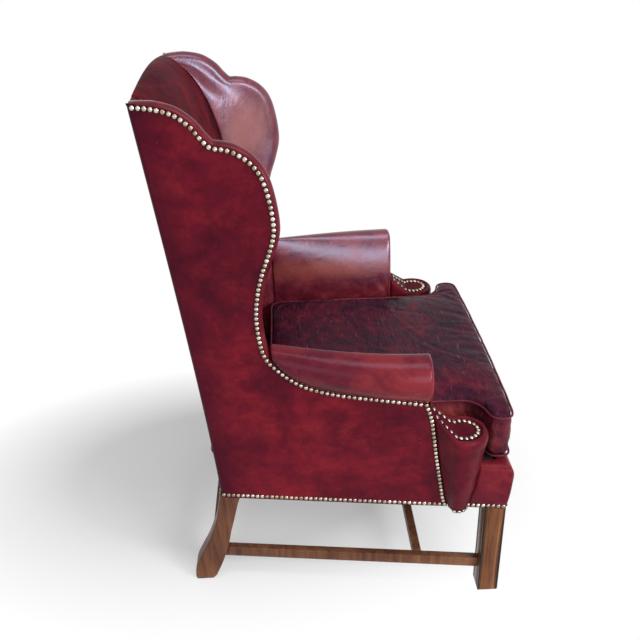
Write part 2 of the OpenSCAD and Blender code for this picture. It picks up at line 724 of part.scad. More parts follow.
// Turns of the roll, each with the share of the frame's depth that stays free behind the padding
back_turns = [[0, 1], [16, 1], [32, 1], [48, 1], [64, 1], [78, 0.35], [90, 0]];
back_rows = concat([for (s = back_flat_shares) [s, 0, 1]], [for (t = back_turns) [1, t[0], t[1]]]);
function back_point(column, z, turn, thick, top) =
    let (high = turn > 0 ? mix(back_roll_z, top, sin(turn)) : z)
    [column * (seam_x(high) - layer_gap), back_y(high) - max(thick, under_leather), high];
function back_grid(in) = [
    for (row = back_rows)
        [for (k = [0 : back_columns]) let (c = 2 * k / back_columns - 1)
            back_point(c, mix(deck_z + layer_gap, back_roll_z, row[0]), row[1],
                (back_t + back_swell * cos(90 * c) - in) * cos(row[1]),
                crest_z(c * post_out_x) - in)]];
back_rear_grid = [
    for (row = back_rows)
        [for (k = [0 : back_columns]) let (c = 2 * k / back_columns - 1)
            back_point(c, mix(deck_z + layer_gap, back_roll_z, row[0]), row[1],
                mix(under_leather, burlap_front + layer_gap, row[2]),
                crest_z(c * post_out_x) - under_leather - pad_t)]];
module inside_back() {
    color(leather_color) slab(back_grid(0), back_grid(leather_t));
}
module back_padding() {
    color(pad_color) slab(back_grid(under_leather), back_rear_grid);
}

// Outside back, from the rails up to the crest
outside_rows = 10;
outside_columns = 8;
function outside_z(i) = mix(leg_h, back_h, i / (outside_rows - 1));
function outside_y(z) = lookup(z, [for (i = [0 : outside_rows - 1]) [outside_z(i), back_y(outside_z(i))]]);
function outside_grid(in) = [for (i = [0 : outside_rows])
    [for (k = [0 : outside_columns])
        let (c = 2 * k / outside_columns - 1, z = i < outside_rows ? outside_z(i) : crest_z(c * post_out_x))
        [c * (back_half(z) - under_leather), back_y(z) - in, z]]];
module outside_back() {
    color(leather_color) slab(outside_grid(0), outside_grid(leather_t));
}

// Arm: its roll grows from the wing to the front. The leather starts above the nail line, goes round
// the roll and falls down the inner face to the deck.
arm_rear_y = foot_y - wing_roll - layer_gap;
arm_rear_x = side_x(arm_rear_y, foot_z) - arm_rear_in;
arm_in_rear = side_x(arm_rear_y, foot_z) - arm_rear_w;
arm_steps = 8;
arm_turns = 12;
arm_drops = 3;
blend_turn = 50;
front_round = 6;
function arm_share(y) = sin(90 * limited((arm_rear_y - y) / (arm_rear_y - arm_front_y)));
function arm_r(y) = mix(arm_rear_r, arm_front_r, arm_share(y));
function arm_x(y) = mix(arm_rear_x, arm_mid_x, arm_share(y));
function arm_z(y) = arm_top_z - arm_front_r + arm_rise * (1 - arm_share(y));
function arm_in(y) =
    mix(arm_in_rear, arm_in_front, limited((arm_rear_y - y) / (arm_rear_y - arm_front_y)));
arm_line = offset_path(side_line, panel_edge + 2 * layer_gap);
arm_line_table = [for (i = [len(side_line) - 1 : -1 : wing_foot - 1]) arm_line[i]];
function arm_line_at(y) = lookup(y, arm_line_table);
function arm_section(y, in, shrink) =
    let (mid = [arm_x(y), arm_z(y)], z0 = arm_line_at(y), start = [side_x(y, z0), z0] - mid,
        a0 = atan2(start[1], start[0]), edge = arm_in(y) + in + shrink)
    concat(
        [for (k = [0 : arm_turns])
            let (a = mix(a0, 180, k / arm_turns),
                r = mix(norm(start), arm_r(y), eased((a - a0) / blend_turn)) - in - shrink)
            [max(edge, mid[0] + r * cos(a)), y, mid[1] + r * sin(a)]],
        [for (k = [1 : arm_drops])
            [edge, y, mix(mid[1], deck_z + layer_gap, k / arm_drops)]]);
function arm_grid(in) = concat(
    [for (i = [0 : arm_steps])
        arm_section(mix(arm_rear_y, arm_front_y + front_round, i / arm_steps), in, 0)],
    [arm_section(arm_front_y, in, front_round / 2)]);
module arm_cover() {
    color(leather_color) slab(arm_grid(0), arm_grid(leather_t));
}
module arm_padding() {
    color(pad_color) slab(arm_grid(under_leather), arm_grid(under_leather + pad_t));
}

// Arm rail inside the roll, and the stump that carries it on the side rail
rail_steps = 6;
rail_rear_share = 0.4;
module arm_rail() {
    color(beech_color)
        skin([for (i = [0 : rail_steps])
            let (y = mix(arm_rear_y, arm_front_y + layer_gap, i / rail_steps),
                low_x = max(arm_x(y) - arm_rail_w / 2, arm_in(y) + under_pad),
                high_x = arm_x(y) + arm_rail_w / 2 * mix(rail_rear_share, 1, arm_share(y)))
            [[low_x, y, arm_z(y) - arm_rail_h / 2], [high_x, y, arm_z(y) - arm_rail_h / 2],
                [high_x, y, arm_z(y) + arm_rail_h / 2], [low_x, y, arm_z(y) + arm_rail_h / 2]]]);
}
arm_pad_x = arm_in_front + under_pad + front_round / 2;
stump_y = arm_front_y + front_round;
stump_x = (arm_pad_x + side_x(stump_y + stump_d, rail_top) - under_leather - stump_w) / 2;
module arm_stump() {
    color(beech_color)
        translate([stump_x, stump_y, rail_top])
            cube([stump_w, stump_d, arm_top_z - arm_front_r - arm_rail_h / 2 - rail_top]);
}

// Front end of the arm: a flat leather with a round head, down to the deck
end_shares = [0, 0.5, 1];
module arm_end() {
    low_z = deck_z + layer_gap;
    outer = [for (s = end_shares) let (z = mix(low_z, arm_line_z, s))
        [side_x(arm_front_y, z) - under_leather - layer_gap, z]];
    color(leather_color)
        translate([0, arm_front_y - layer_gap, 0])
            rotate([90, 0, 0])
                linear_extrude(leather_t)
                    union() {
                        translate([arm_mid_x, arm_top_z - arm_front_r])
                            circle(arm_front_r - front_round / 2);
                        polygon(concat([[arm_in_front + front_round / 2, arm_top_z - arm_front_r],
                            [arm_in_front + front_round / 2, low_z]], outer,
                            [[arm_mid_x, arm_top_z - arm_front_r]]));
                    }
}

// Scroll in front of the arm: a tapered round column, open at its rear, with a rolled rim on top.
// Each row holds shares of the height, of the rim's radius, of the rim's width that the row lies
// in at the tail, and whether its thickness lies below it.
scroll_shares = [
    [0, 0.33, 0, 0], [0.06, 0.42, 0, 0], [0.3, 0.64, 0, 0], [0.43, 0.715, 0, 0], [0.55, 0.78, 0, 0],
    [0.62, 0.81, 0, 0], [0.75, 0.88, 0, 0], [0.86, 0.96, 0, 0], [0.93, 1, 0, 0], [0.97, 0.975, 0.1, 0],
    [1, 0.89, 0.45, 1], [1, 0.735, 1, 1]];
block_rows = [0, 2, 3, 4, 5, 6, 7];
scroll_low_z = leg_h - scroll_drop;
scroll_start = 25;
scroll_end_low = -90;
scroll_end_high = 2 * scroll_end_low - scroll_start;
scroll_turns = 13;
rim_w = scroll_r * (1 - scroll_shares[len(scroll_shares) - 1][1]);
tail_y = arm_front_y - layer_gap * 2 - leather_t;
facing_bend_y = scroll_y + (facing_r + nail_r) * sin(scroll_start);
function facing_z(y) =
    mix(scroll_head_z, scroll_tail_z, limited((y - facing_bend_y) / (tail_y - facing_bend_y)));
function scroll_mid(share) = [scroll_x - tip_in * (1 - share), scroll_y + tip_back * (1 - share)];
function scroll_closed(z) = eased((z - rail_top) / (deck_z + rim_h - rail_top));
function scroll_ring(row, in, tail_in, top_in) =
    let (share = row[0], r = scroll_r * row[1] - in, mid = scroll_mid(share),
        head_z = mix(scroll_low_z, scroll_head_z + rim_h - top_in, share),
        tail_z = mix(scroll_low_z, facing_z(tail_y) + rim_h - top_in, share),
        closed = scroll_closed(head_z), last = mix(scroll_end_low, scroll_end_high, closed),
        round = arc(mid, r, scroll_start, last, scroll_turns),
        end = round[scroll_turns],
        outer_y = front_line_y(tail_z) - panel_edge - 7 * layer_gap,
        outer_x = side_x(outer_y, tail_z) - tail_in - row[2] * rim_w,
        inner_x = mid[0] - r * cos(scroll_start))
    concat([[outer_x, outer_y]], round,
        [mix(end + [-leather_t / 2, leather_t], [inner_x, tail_y], closed)]);
function scroll_height(row, y, top_in) =
    mix(scroll_low_z, facing_z(y) + rim_h - top_in, row[0]);
function scroll_grid(in) = [for (row = scroll_shares)
    [for (p = scroll_ring(row, in, in, 0))
        [p[0], p[1], scroll_height(row, p[1], 0) - in * row[3]]]];
module scroll_cover() {
    color(leather_color) slab(scroll_grid(0), scroll_grid(leather_t));
}
// Tapered round block that fills the scroll
block_pad = 3 * leather_t + layer_gap;
module scroll_block() {
    color(beech_color)
        skin([for (i = block_rows)
            let (row = scroll_shares[i], level = mix(scroll_low_z, scroll_head_z - under_leather, row[0]),
                last = mix(scroll_end_low, scroll_end_high, scroll_closed(level)))
            [for (p = arc(scroll_mid(row[0]), scroll_r * row[1] - under_leather - block_pad,
                scroll_start, last, scroll_turns))
                [level < rail_top ? max(p[0], rail_face_x(p[1]) + layer_gap) : p[0], p[1],
                    max(level, scroll_low_z + layer_gap)]]]);
}

// Facing on top of the scroll: its outline paired across, from the tail to the head
facing_row = [1, (facing_r + nail_r) / scroll_r, 1, 1];
function facing_grid(down) =
    let (loop = scroll_ring(facing_row, 0, layer_gap, 0), n = len(loop))
    [for (i = [0 : n / 2 - 1])
        [for (share = [0, 0.5, 1]) let (p = mix(loop[i], loop[n - 1 - i], share))
            [p[0], p[1], facing_z(p[1]) - down]]];
module scroll_facing() {
    color(leather_color) slab(facing_grid(0), facing_grid(leather_t));
}

// Front border: round both front corners, with a padded roll along its top. Shares of its height,
// of its lean and of the roll's depth.
border_shares = [
    [0, 0, 0], [0.25, 0.35, 0], [0.59, 0.75, 0], [0.80, 1, 0], [0.905, 1, 0.05], [0.965, 1, 0.18],
    [1, 1, 0.41], [1, 1, 0.70], [0.985, 1, 1]];
border_h = deck_z + layer_gap - leg_h;
border_profile = [for (s = border_shares)
    [s[2] * border_in - s[1] * border_lean, leg_h + s[0] * border_h]];
border_corner_steps = 3;
border_front_steps = 3;
function scroll_radius(z) = scroll_r * lookup((z - scroll_low_z) / (scroll_head_z + rim_h - scroll_low_z),
    [for (row = scroll_shares) if (row[3] == 0) [row[0], row[1]]]);
function scroll_front_y(z) =
    scroll_mid((z - scroll_low_z) / (scroll_head_z + rim_h - scroll_low_z))[1] - scroll_radius(z);
function border_half(depth, z) =
    let (r = max(layer_gap, corner_r - max(0, depth)), y = border_y + depth,
        x = side_x(y + r, leg_h) - depth, start = scroll_front_y(z) - 2 * layer_gap)
    concat(
        [[side_x(start, leg_h) - depth, start], [side_x((start + y) / 2, leg_h) - depth, (start + y) / 2]],
        arc([x - r, y + r], r, 0, -90, border_corner_steps),
        [for (k = [1 : border_front_steps]) [(x - r) * (1 - k / border_front_steps), y]]);
function border_loop(depth, z) =
    let (half = border_half(depth, z), n = len(half))
    concat(half, [for (i = [n - 2 : -1 : 0]) [-half[i][0], half[i][1]]]);
function border_grid(profile) = [for (p = profile)
    [for (q = border_loop(p[0], p[1])) [q[0], q[1], p[1]]]];
module front_border() {
    color(leather_color)
        slab(border_grid(border_profile), border_grid(offset_path(border_profile, leather_t)));
}
module front_edge_roll() {
    color(pad_color)
        translate([-leg_in_x, border_y + edge_roll_r, rail_top + edge_roll_r])
            rotate([0, 90, 0])
                cylinder(h = 2 * leg_in_x, r = edge_roll_r);
}

// Deck under the cushion: cloth, padding, burlap and springs, from the top down
deck_front_y = border_y - border_lean + border_in + layer_gap;
deck_rear_y = rear_rail_y - rail_t;
function deck_half(y) = min(arm_pad_x, side_x(y, rail_top) - board_in - 2 * layer_gap);
deck_outline = mirrored([
    [0, deck_front_y], [leg_in_x, deck_front_y], [arm_pad_x, front_y + scroll_setback - scroll_r],
    [arm_pad_x, arm_front_y], [deck_half(foot_y), foot_y], [deck_half(deck_rear_y), deck_rear_y],
    [0, deck_rear_y]]);
pad_top = deck_z - cloth_t - layer_gap;
burlap_top = pad_top - deck_pad_t - layer_gap;
spring_z = burlap_top - cloth_t - layer_gap - wire_d / 2;
module deck_layer(top, thick) {
    translate([0, 0, top - thick]) linear_extrude(thick) polygon(deck_outline);
}
module deck_cloth() {
    color(cloth_color) deck_layer(deck_z, cloth_t);
}
module deck_pad() {
    color(pad_color) deck_layer(pad_top, deck_pad_t);
}
module seat_burlap() {
    color(jute_color) deck_layer(burlap_top, cloth_t);
}

// Wavy seat springs from the front rail to the rear rail, each end on a clip
spring_half_share = 6;
spring_half_w = wire_d * spring_half_share;
spring_waves = 10;
wave_steps = 6;
spring_seat_share = 0.8;
spring_front_y = front_rail_y + rail_t * spring_seat_share;
spring_rear_y = rear_rail_y + rail_t / 2;
spring_span = post_in_x - spring_half_w - wire_d;
function spring_mid(k) = mix(-spring_span, spring_span, k / (springs - 1));
module seat_springs() {
    color(steel_color)
        for (k = [0 : springs - 1])
            cord([for (i = [0 : spring_waves * wave_steps])
                [spring_mid(k) + spring_half_w * sin(360 * i / wave_steps),
                    mix(spring_front_y, spring_rear_y, i / (spring_waves * wave_steps)), spring_z]],
                wire_d / 2, 4);
}
clip_w_share = 5;
clip_d_share = 2.5;
clip_w = wire_d * clip_w_share;
clip_d = wire_d * clip_d_share;
module spring_clips() {
    color(steel_color)
        for (k = [0 : springs - 1], y = [spring_front_y, spring_rear_y])
            translate([spring_mid(k) - clip_w / 2, y - clip_d / 2, rail_top])
                cube([clip_w, clip_d, spring_z - wire_d / 2 - layer_gap / 2 - rail_top]);
}

// Dust cover under the rails, cut round the legs
module dust_cover() {
    z = leg_h + (rail_room - cloth_t) - layer_gap;
    outline = mirrored([
        [0, front_rail_y], [leg_in_x - layer_gap, front_rail_y],
        [leg_in_x - layer_gap, leg_back_y + layer_gap],
        [rail_face_x(leg_back_y) - leather_t, leg_back_y + layer_gap],
        [rail_face_x(post_front_y) - leather_t, post_front_y - layer_gap],
        [post_in_x - layer_gap, post_front_y - layer_gap], [post_in_x - layer_gap, rear_rail_y + rail_t],
        [0, rear_rail_y + rail_t]]);
    difference() {
        color(cloth_color) translate([0, 0, z]) linear_extrude(cloth_t) polygon(outline);
        both_sides() rear_leg();
    }
}

// Seat cushion: T-shaped, with a crown, drawn-in boxing and a hollow round each scroll
cushion_half = min(arm_in_rear, arm_in_front) - cushion_side_gap;
ear_half = scroll_x - ear_short;
cushion_rear_y = seam_y(cushion_low_z) - cushion_gap;
ear_front_y = front_y + ear_set;
ear_rear_y = ear_front_y + ear_d;
ear_front_share = 0.43;
ear_rear_share = 0.38;
ear_front_r = ear_d * ear_front_share;
ear_rear_r = ear_d * ear_rear_share;
notch_r = ear_half - ear_rear_r - cushion_half;
cushion_outline = mirrored(concat(
    [[0, front_y], [ear_half / 3, mix(front_y, ear_front_y, 1 / 9)],
        [ear_half * 2 / 3, mix(front_y, ear_front_y, 4 / 9)]],
    arc([ear_half - ear_front_r, ear_front_y + ear_front_r], ear_front_r, -90, 0, 3),
    arc([ear_half - ear_rear_r, ear_rear_y - ear_rear_r], ear_rear_r, 0, 90, 2),
    arc([cushion_half + notch_r, ear_rear_y + notch_r], notch_r, 270, 180, 5),
    [[cushion_half - boxing_in / 2, mix(ear_rear_y + notch_r, cushion_rear_y, 0.5)]],
    arc([cushion_half - rear_corner_r, cushion_rear_y - rear_corner_r], rear_corner_r, 0, 90, 3),
    [[zip_l / 2, cushion_rear_y], [0, cushion_rear_y]]));
// Where each point of the outline moves to on the crown's flat middle
flat_x_share = 0.5;
flat_rear_share = 0.17;
flat_rear_y = mix(cushion_rear_y, front_y, flat_rear_share);
function flat_point(p) = [p[0] * flat_x_share, min(max(p[1], ear_rear_y), flat_rear_y)];
// Rings of the crown: share of the way to the middle and height share, and the same for the underside
crown_shares = [[0.03, 0.30], [0.12, 0.58], [0.32, 0.80], [0.6, 0.95], [0.85, 1]];
under_shares = [[0.85, 1], [0.5, 0.95], [0.12, 0.6], [0.03, 0.3]];
boxing_mid_z = (cushion_low_z + cushion_top_z) / 2;
boxing_heights = [boxing_mid_z - zip_w / 2, boxing_mid_z + zip_w / 2];
zip_row = len(under_shares) + 1;
under_drop = cushion_low_z - deck_z - layer_gap;
function ring_at(loop, z) = [for (p = loop) [p[0], p[1], z]];
function inset_loop(loop, share) = [for (p = loop) mix(p, flat_point(p), share)];
seam_in = 2 * piping_r + layer_gap;
function cushion_rings(in) =
    let (loop = offset_loop(cushion_outline, -seam_in - in),
        drawn = offset_loop(cushion_outline, -seam_in - in - boxing_in),
        low = cushion_low_z + in / 2, high = cushion_top_z - in / 2)
    concat(
        [for (s = under_shares) ring_at(inset_loop(loop, s[0]), cushion_low_z - under_drop * s[1] + in)],
        [ring_at(loop, low + in / 2)],
        [for (z = boxing_heights) ring_at(drawn, z)],
        [ring_at(loop, high - in / 2)],
        [for (s = crown_shares) ring_at(inset_loop(loop, s[0]), cushion_top_z + crown * s[1] - in)]);
// Closed cover with an inside, open only where the zip goes: outer skin, inner skin, and the four
// walls of the opening between them
module cushion_cover() {
    rings = concat(cushion_rings(0), cushion_rings(cover_t));
    m = len(rings) / 2;
    n = len(rings[0]);
    in = m * n;
    mids = 2 * in;
    low = zip_row * n;
    opening = [n / 2 - 1, n / 2];
    quads = [for (i = [0 : m - 2]) for (k = [0 : n - 1])
        if (i != zip_row || abs(k + 1 / 2 - n / 2) > 1) [i * n + k, i * n + (k + 1) % n]];
    first = low + opening[0];
    last = low + opening[1] + 1;
    color(cushion_color)
        closed_mesh(
            concat([for (ring = rings) each ring],
                [middle(rings[0]), middle(rings[m - 1]), middle(rings[m]), middle(rings[2 * m - 1])]),
            concat(
                [for (q = quads) each quad(q[0], q[1], q[1] + n, q[0] + n)],
                [for (q = quads) each quad(in + q[0], in + q[0] + n, in + q[1] + n, in + q[1])],
                [for (k = [0 : n - 1]) let (next = (k + 1) % n, top = in - n) each [
                    [mids, next, k], [mids + 1, top + k, top + next],
                    [mids + 2, in + k, in + next], [mids + 3, in + top + next, in + top + k]]],
                [for (k = opening) each concat(
                    quad(low + k, low + k + 1, in + low + k + 1, in + low + k),
                    quad(low + n + k + 1, low + n + k, in + low + n + k, in + low + n + k + 1))],
                quad(first + n, first, in + first, in + first + n),
                quad(last, last + n, in + last + n, in + last)));
}
module cushion_core() {
    color(pad_color) skin(cushion_rings(cover_t + 2 * layer_gap));
}
module cushion_piping() {
    loop = offset_loop(cushion_outline, -piping_r);
    color(cushion_color)
        for (z = [cushion_low_z, cushion_top_z]) loop_cord(loop, z, piping_r, 6);
}
// Zip in the opening of the rear boxing, with its slider
module cushion_zip() {
    face_y = cushion_rear_y - seam_in - boxing_in;
    tape_l = zip_l - rear_corner_r;
    tape_w = zip_w - 2 * layer_gap;
    slider = zip_w / 2;
    color(steel_color) {
        translate([-tape_l / 2, face_y - cover_t, boxing_mid_z - tape_w / 2])
            cube([tape_l, cover_t, tape_w]);
        translate([tape_l / 2 - 2 * slider, face_y, boxing_mid_z - slider / 2])
            cube([slider, cover_t, slider]);
    }
}

// Nails: along the wing and under the arm, down the front and round the facing, and along the
// lower border all the way round
module wing_nails() {
    path = evenly_along(side_line, nail_pitch);
    color(nail_color)
        both_sides()
            for (k = [1 : len(path) - 1]) let (p = path[k])
                nail([side_x(p[0], p[1]), p[0], p[1]], side_way(p[0], p[1]));
}
module scroll_nails() {
    front = evenly_along(front_line, nail_pitch);
    loop = scroll_ring([1, facing_r / scroll_r, 1, 1], 0, nail_r + leather_t + layer_gap, 0);
    facing = evenly_along(loop, nail_pitch);
    color(nail_color)
        both_sides() {
            for (k = [1 : len(front) - 2]) let (p = front[k])
                nail([side_x(p[0], p[1]), p[0], p[1]], side_way(p[0], p[1]));
            for (k = [1 : len(facing) - 2])
                let (p = facing[k], ends = [for (y = [p[1] - nail_r, p[1] + nail_r]) facing_z(y)])
                    nail([p[0], p[1], (ends[0] + ends[1]) / 2], [0, (ends[0] - ends[1]) / 2 / nail_r, 1]);
        }
}
// Parts of the way from nail to nail, close enough together to give each nail its direction
border_nail_parts = 10;
module border_nails() {
    z = leg_h + border_nail_z;
    tip_share = (z - scroll_low_z) / (scroll_head_z + rim_h - scroll_low_z);
    tip_row = [tip_share, scroll_radius(z) / scroll_r, 0, 0];
    tip = scroll_ring(tip_row, 0, 0, 0);
    tip_path = evenly_along([for (i = [1 : scroll_turns + 1]) tip[i]], nail_pitch);
    flare = (scroll_radius(z + layer_gap) - scroll_radius(z)) / layer_gap;
    side = evenly_along([[back_y(z) - nail_r - leather_t, 0], [front_line[len(front_line) - 1][0], 0]],
        nail_pitch);
    depth = lookup(z, [for (p = border_profile) [p[1], p[0]]]);
    front = evenly_along(border_loop(depth, z), nail_pitch / border_nail_parts);
    rear_half = back_half(z) - under_leather - nail_r;
    rear = evenly_along([[-rear_half, 0], [rear_half, 0]], nail_pitch);
    color(nail_color) {
        both_sides() {
            for (p = side) nail([side_x(p[0], z), p[0], z], side_way(p[0], z));
            for (k = [0 : len(tip_path) - 2])
                let (p = tip_path[k], out = p - scroll_mid(tip_row[0]))
                    nail([p[0], p[1], z], [out[0], out[1], -flare * norm(out)]);
        }
        for (k = [border_nail_parts : border_nail_parts : len(front) - 2])
            let (p = front[k], t = front[k + 1] - front[k - 1])
                nail([p[0], p[1], z], [-t[1], t[0], 0]);
        for (p = rear)
            nail([p[0], outside_y(z), z], [0, 1, (outside_y(z) - outside_y(z + layer_gap)) / layer_gap]);
    }
}

module right_side() {
    mirror([1, 0, 0]) children();
}

front_leg();  // front_leg_left
right_side() front_leg();  // front_leg_right
rear_leg();  // rear_leg_left
right_side() rear_leg();  // rear_leg_right
side_stretcher();  // side_stretcher_left
right_side() side_stretcher();  // side_stretcher_right
medial_stretcher();
rear_stretcher();
front_seat_rail();
side_seat_rail();  // side_seat_rail_left
right_side() side_seat_rail();  // side_seat_rail_right
rear_seat_rail();
corner_blocks();
corner_screws();
crest_rail();
lower_back_rail();
wing_board();  // wing_board_left
right_side() wing_board();  // wing_board_right
arm_rail();  // arm_rail_left
right_side() arm_rail();  // arm_rail_right
arm_stump();  // arm_stump_left
right_side() arm_stump();  // arm_stump_right
scroll_block();  // scroll_block_left
right_side() scroll_block();  // scroll_block_right
seat_springs();
spring_clips();
seat_burlap();
deck_pad();
deck_cloth();
front_edge_roll();
dust_cover();
back_webbing();
back_burlap();
back_padding();
inside_back();
wing_padding();  // wing_padding_left
right_side() wing_padding();  // wing_padding_right
inside_wing();  // inside_wing_left
right_side() inside_wing();  // inside_wing_right
arm_padding();  // arm_padding_left
right_side() arm_padding();  // arm_padding_right
arm_cover();  // arm_cover_left
right_side() arm_cover();  // arm_cover_right
arm_end();  // arm_end_left
right_side() arm_end();  // arm_end_right
side_panel();  // side_panel_left
right_side() side_panel();  // side_panel_right
outside_back();
scroll_cover();  // scroll_cover_left
right_side() scroll_cover();  // scroll_cover_right
scroll_facing();  // scroll_facing_left
right_side() scroll_facing();  // scroll_facing_right
front_border();
wing_nails();
scroll_nails();
border_nails();
cushion_cover();
cushion_core();
cushion_piping();
cushion_zip();
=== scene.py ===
import math

import bmesh
import bpy
import numpy as np
from mathutils import Matrix, Vector


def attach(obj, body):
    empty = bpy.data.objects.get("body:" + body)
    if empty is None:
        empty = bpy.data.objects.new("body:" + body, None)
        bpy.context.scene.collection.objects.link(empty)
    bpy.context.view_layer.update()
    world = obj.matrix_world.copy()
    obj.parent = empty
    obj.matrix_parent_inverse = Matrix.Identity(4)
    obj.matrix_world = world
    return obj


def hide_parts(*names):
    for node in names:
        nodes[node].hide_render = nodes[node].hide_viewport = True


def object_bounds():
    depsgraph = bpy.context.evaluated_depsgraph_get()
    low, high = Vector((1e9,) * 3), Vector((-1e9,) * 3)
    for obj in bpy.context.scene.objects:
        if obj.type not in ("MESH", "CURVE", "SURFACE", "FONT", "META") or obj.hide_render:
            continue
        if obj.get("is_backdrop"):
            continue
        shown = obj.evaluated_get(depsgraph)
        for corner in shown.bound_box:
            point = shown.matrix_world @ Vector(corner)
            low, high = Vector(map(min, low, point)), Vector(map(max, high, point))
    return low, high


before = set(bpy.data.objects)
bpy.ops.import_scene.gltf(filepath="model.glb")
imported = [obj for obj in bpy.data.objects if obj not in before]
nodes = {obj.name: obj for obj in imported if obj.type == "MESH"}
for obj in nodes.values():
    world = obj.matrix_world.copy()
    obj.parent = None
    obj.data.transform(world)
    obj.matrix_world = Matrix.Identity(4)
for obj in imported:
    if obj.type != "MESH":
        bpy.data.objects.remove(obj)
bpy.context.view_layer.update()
scene = bpy.context.scene


# Viewpoint: a little behind the chair's middle on the sitter's right, from above eye level of the
# seat, looking down across the arms at the far wing.
eye = Vector((-1.685, 0.091, 1.447))
yaw, pitch, roll = (math.radians(a) for a in (-2.09, 27.97, -1.51))
ahead = Vector((math.cos(yaw) * math.cos(pitch), math.sin(yaw) * math.cos(pitch), -math.sin(pitch)))
across = Vector((math.sin(yaw), -math.cos(yaw), 0))
upward = across.cross(ahead)
right = math.cos(roll) * across + math.sin(roll) * upward
top = -math.sin(roll) * across + math.cos(roll) * upward
camera = bpy.data.objects.new("camera", bpy.data.cameras.new("camera"))
scene.collection.objects.link(camera)
camera.data.lens = 44.62
camera.data.sensor_width = 36
turn = Matrix((right, top, -ahead)).transposed().to_4x4()
camera.matrix_world = Matrix.Translation(eye) @ turn
scene.camera = camera


# Front legs: square mahogany posts with a thin bead scribed beside each corner, their edges darker,
# glued into the corners of the seat rails. Above the rails' lower edge they are cut back.
def add_node(mat, kind, settings=None, **inputs):
    made = mat.node_tree.nodes.new("ShaderNode" + kind)
    for key, value in (settings or {}).items():
        setattr(made, key, value)
    for key, value in inputs.items():
        put(mat, made.inputs[key.replace("_", " ")], value)
    return made


def put(mat, socket, value):
    if isinstance(value, bpy.types.NodeSocket):
        mat.node_tree.links.new(value, socket)
    else:
        socket.default_value = value


def calc(mat, operation, *values):
    made = add_node(mat, "Math", {"operation": operation})
    for socket, value in zip(made.inputs, values):
        put(mat, socket, value)
    return made.outputs[0]


def weighed(mat, a, share_a, b, share_b):
    return calc(mat, "ADD", calc(mat, "MULTIPLY", a, share_a), calc(mat, "MULTIPLY", b, share_b))


def ramp(mat, value, stops):
    made = add_node(mat, "ValToRGB", Fac=value)
    points = made.color_ramp.elements
    while len(points) < len(stops):
        points.new(0.5)
    for point, (place, colour) in zip(points, stops):
        point.position = place
        point.color = (*colour, 1)
    return made.outputs["Color"]


def between(mat, value, low, high, to_low=0.0, to_high=1.0):
    return add_node(mat, "MapRange", Value=value, From_Min=low, From_Max=high,
                    To_Min=to_low, To_Max=to_high).outputs["Result"]


def blend_colour(mat, share, a, b):
    made = add_node(mat, "Mix", {"data_type": "RGBA"})
    for name, value in (("Factor_Float", share), ("A_Color", a), ("B_Color", b)):
        put(mat, next(s for s in made.inputs if s.identifier == name), value)
    return next(s for s in made.outputs if s.identifier == "Result_Color")


def place(mat, scale=(1, 1, 1), turn=(0, 0, 0), move=(0, 0, 0)):
    spot = add_node(mat, "TexCoord").outputs["Object"]
    return add_node(mat, "Mapping", Vector=spot, Scale=scale, Rotation=turn, Location=move).outputs[0]


def noise(mat, scale, detail=3.0, roughness=0.55, distortion=0.0, vector=None):
    vector = vector or place(mat)
    return add_node(mat, "TexNoise", Vector=vector, Scale=scale, Detail=detail, Roughness=roughness,
                    Distortion=distortion).outputs["Fac"]


def bump(mat, height, strength, distance, under=None):
    made = add_node(mat, "Bump", Height=height, Strength=strength, Distance=distance)
    if under:
        mat.node_tree.links.new(under, made.inputs["Normal"])
    return made.outputs["Normal"]


def new_material(name, **sockets):
    mat = bpy.data.materials.new(name)
    mat.use_nodes = True
    shader = mat.node_tree.nodes["Principled BSDF"]
    for key, value in sockets.items():
        shader.inputs[key.replace("_", " ")].default_value = value
    return mat, shader.inputs


def mahogany(name, dark, mid, light, seed, edges=False):
    mat, shader = new_material(name, Specular_IOR_Level=0.14, Coat_Weight=0.06, Coat_Roughness=0.18)
    grain = place(mat, (38, 38, 2.4), move=(seed, 0, 0))
    figure = noise(mat, 1.0, 5, 0.6, 1.4, grain)
    pores = noise(mat, 1.0, 2, 0.7, 0.2, place(mat, (420, 420, 16), move=(seed, 0, 0)))
    patch = noise(mat, 9, 3, 0.6, 0.3, place(mat, (1, 1, 0.5), move=(seed, seed, 0)))
    tone = weighed(mat, figure, 0.62, patch, 0.38)
    colour = ramp(mat, tone, [(0.34, dark), (0.5, mid), (0.66, light)])
    colour = blend_colour(mat, between(mat, pores, 0.56, 0.72, 0.0, 0.55), colour, (*dark, 1))
    if edges:
        # Darker towards the corners of the post, where the edge_tone attribute is low.
        lighter_share = add_node(mat, "Attribute", {"attribute_name": "edge_tone"}).outputs["Fac"]
        patchy = weighed(mat, lighter_share, 1.0, calc(mat, "SUBTRACT", patch, 0.5), 0.5)
        colour = blend_colour(mat, between(mat, patchy, 0.15, 0.75), (*dark, 1), colour)
    put(mat, shader["Base Color"], colour)
    put(mat, shader["Roughness"], between(mat, patch, 0.3, 0.7, 0.24, 0.42))
    put(mat, shader["Normal"], bump(mat, pores, 0.25, 0.0004, bump(mat, figure, 0.12, 0.001)))
    return mat


def skin_rings(rings, closed_ends=True):
    rings = np.asarray(rings, float)
    rows, count = rings.shape[:2]
    quads = [(r * count + k, r * count + (k + 1) % count, (r + 1) * count + (k + 1) % count,
              (r + 1) * count + k) for r in range(rows - 1) for k in range(count)]
    if closed_ends:
        quads += [tuple(reversed(range(count))), tuple(range((rows - 1) * count, rows * count))]
    return rings.reshape(-1, 3), quads


def mesh_from(name, points, faces, mirrored=False):
    points = np.array(points, float)
    if mirrored:
        points[:, 0] *= -1
        faces = [tuple(reversed(f)) for f in faces]
    mesh = bpy.data.meshes.new(name + "_mesh")
    mesh.from_pydata(points.tolist(), [], faces)
    mesh.update()
    return mesh


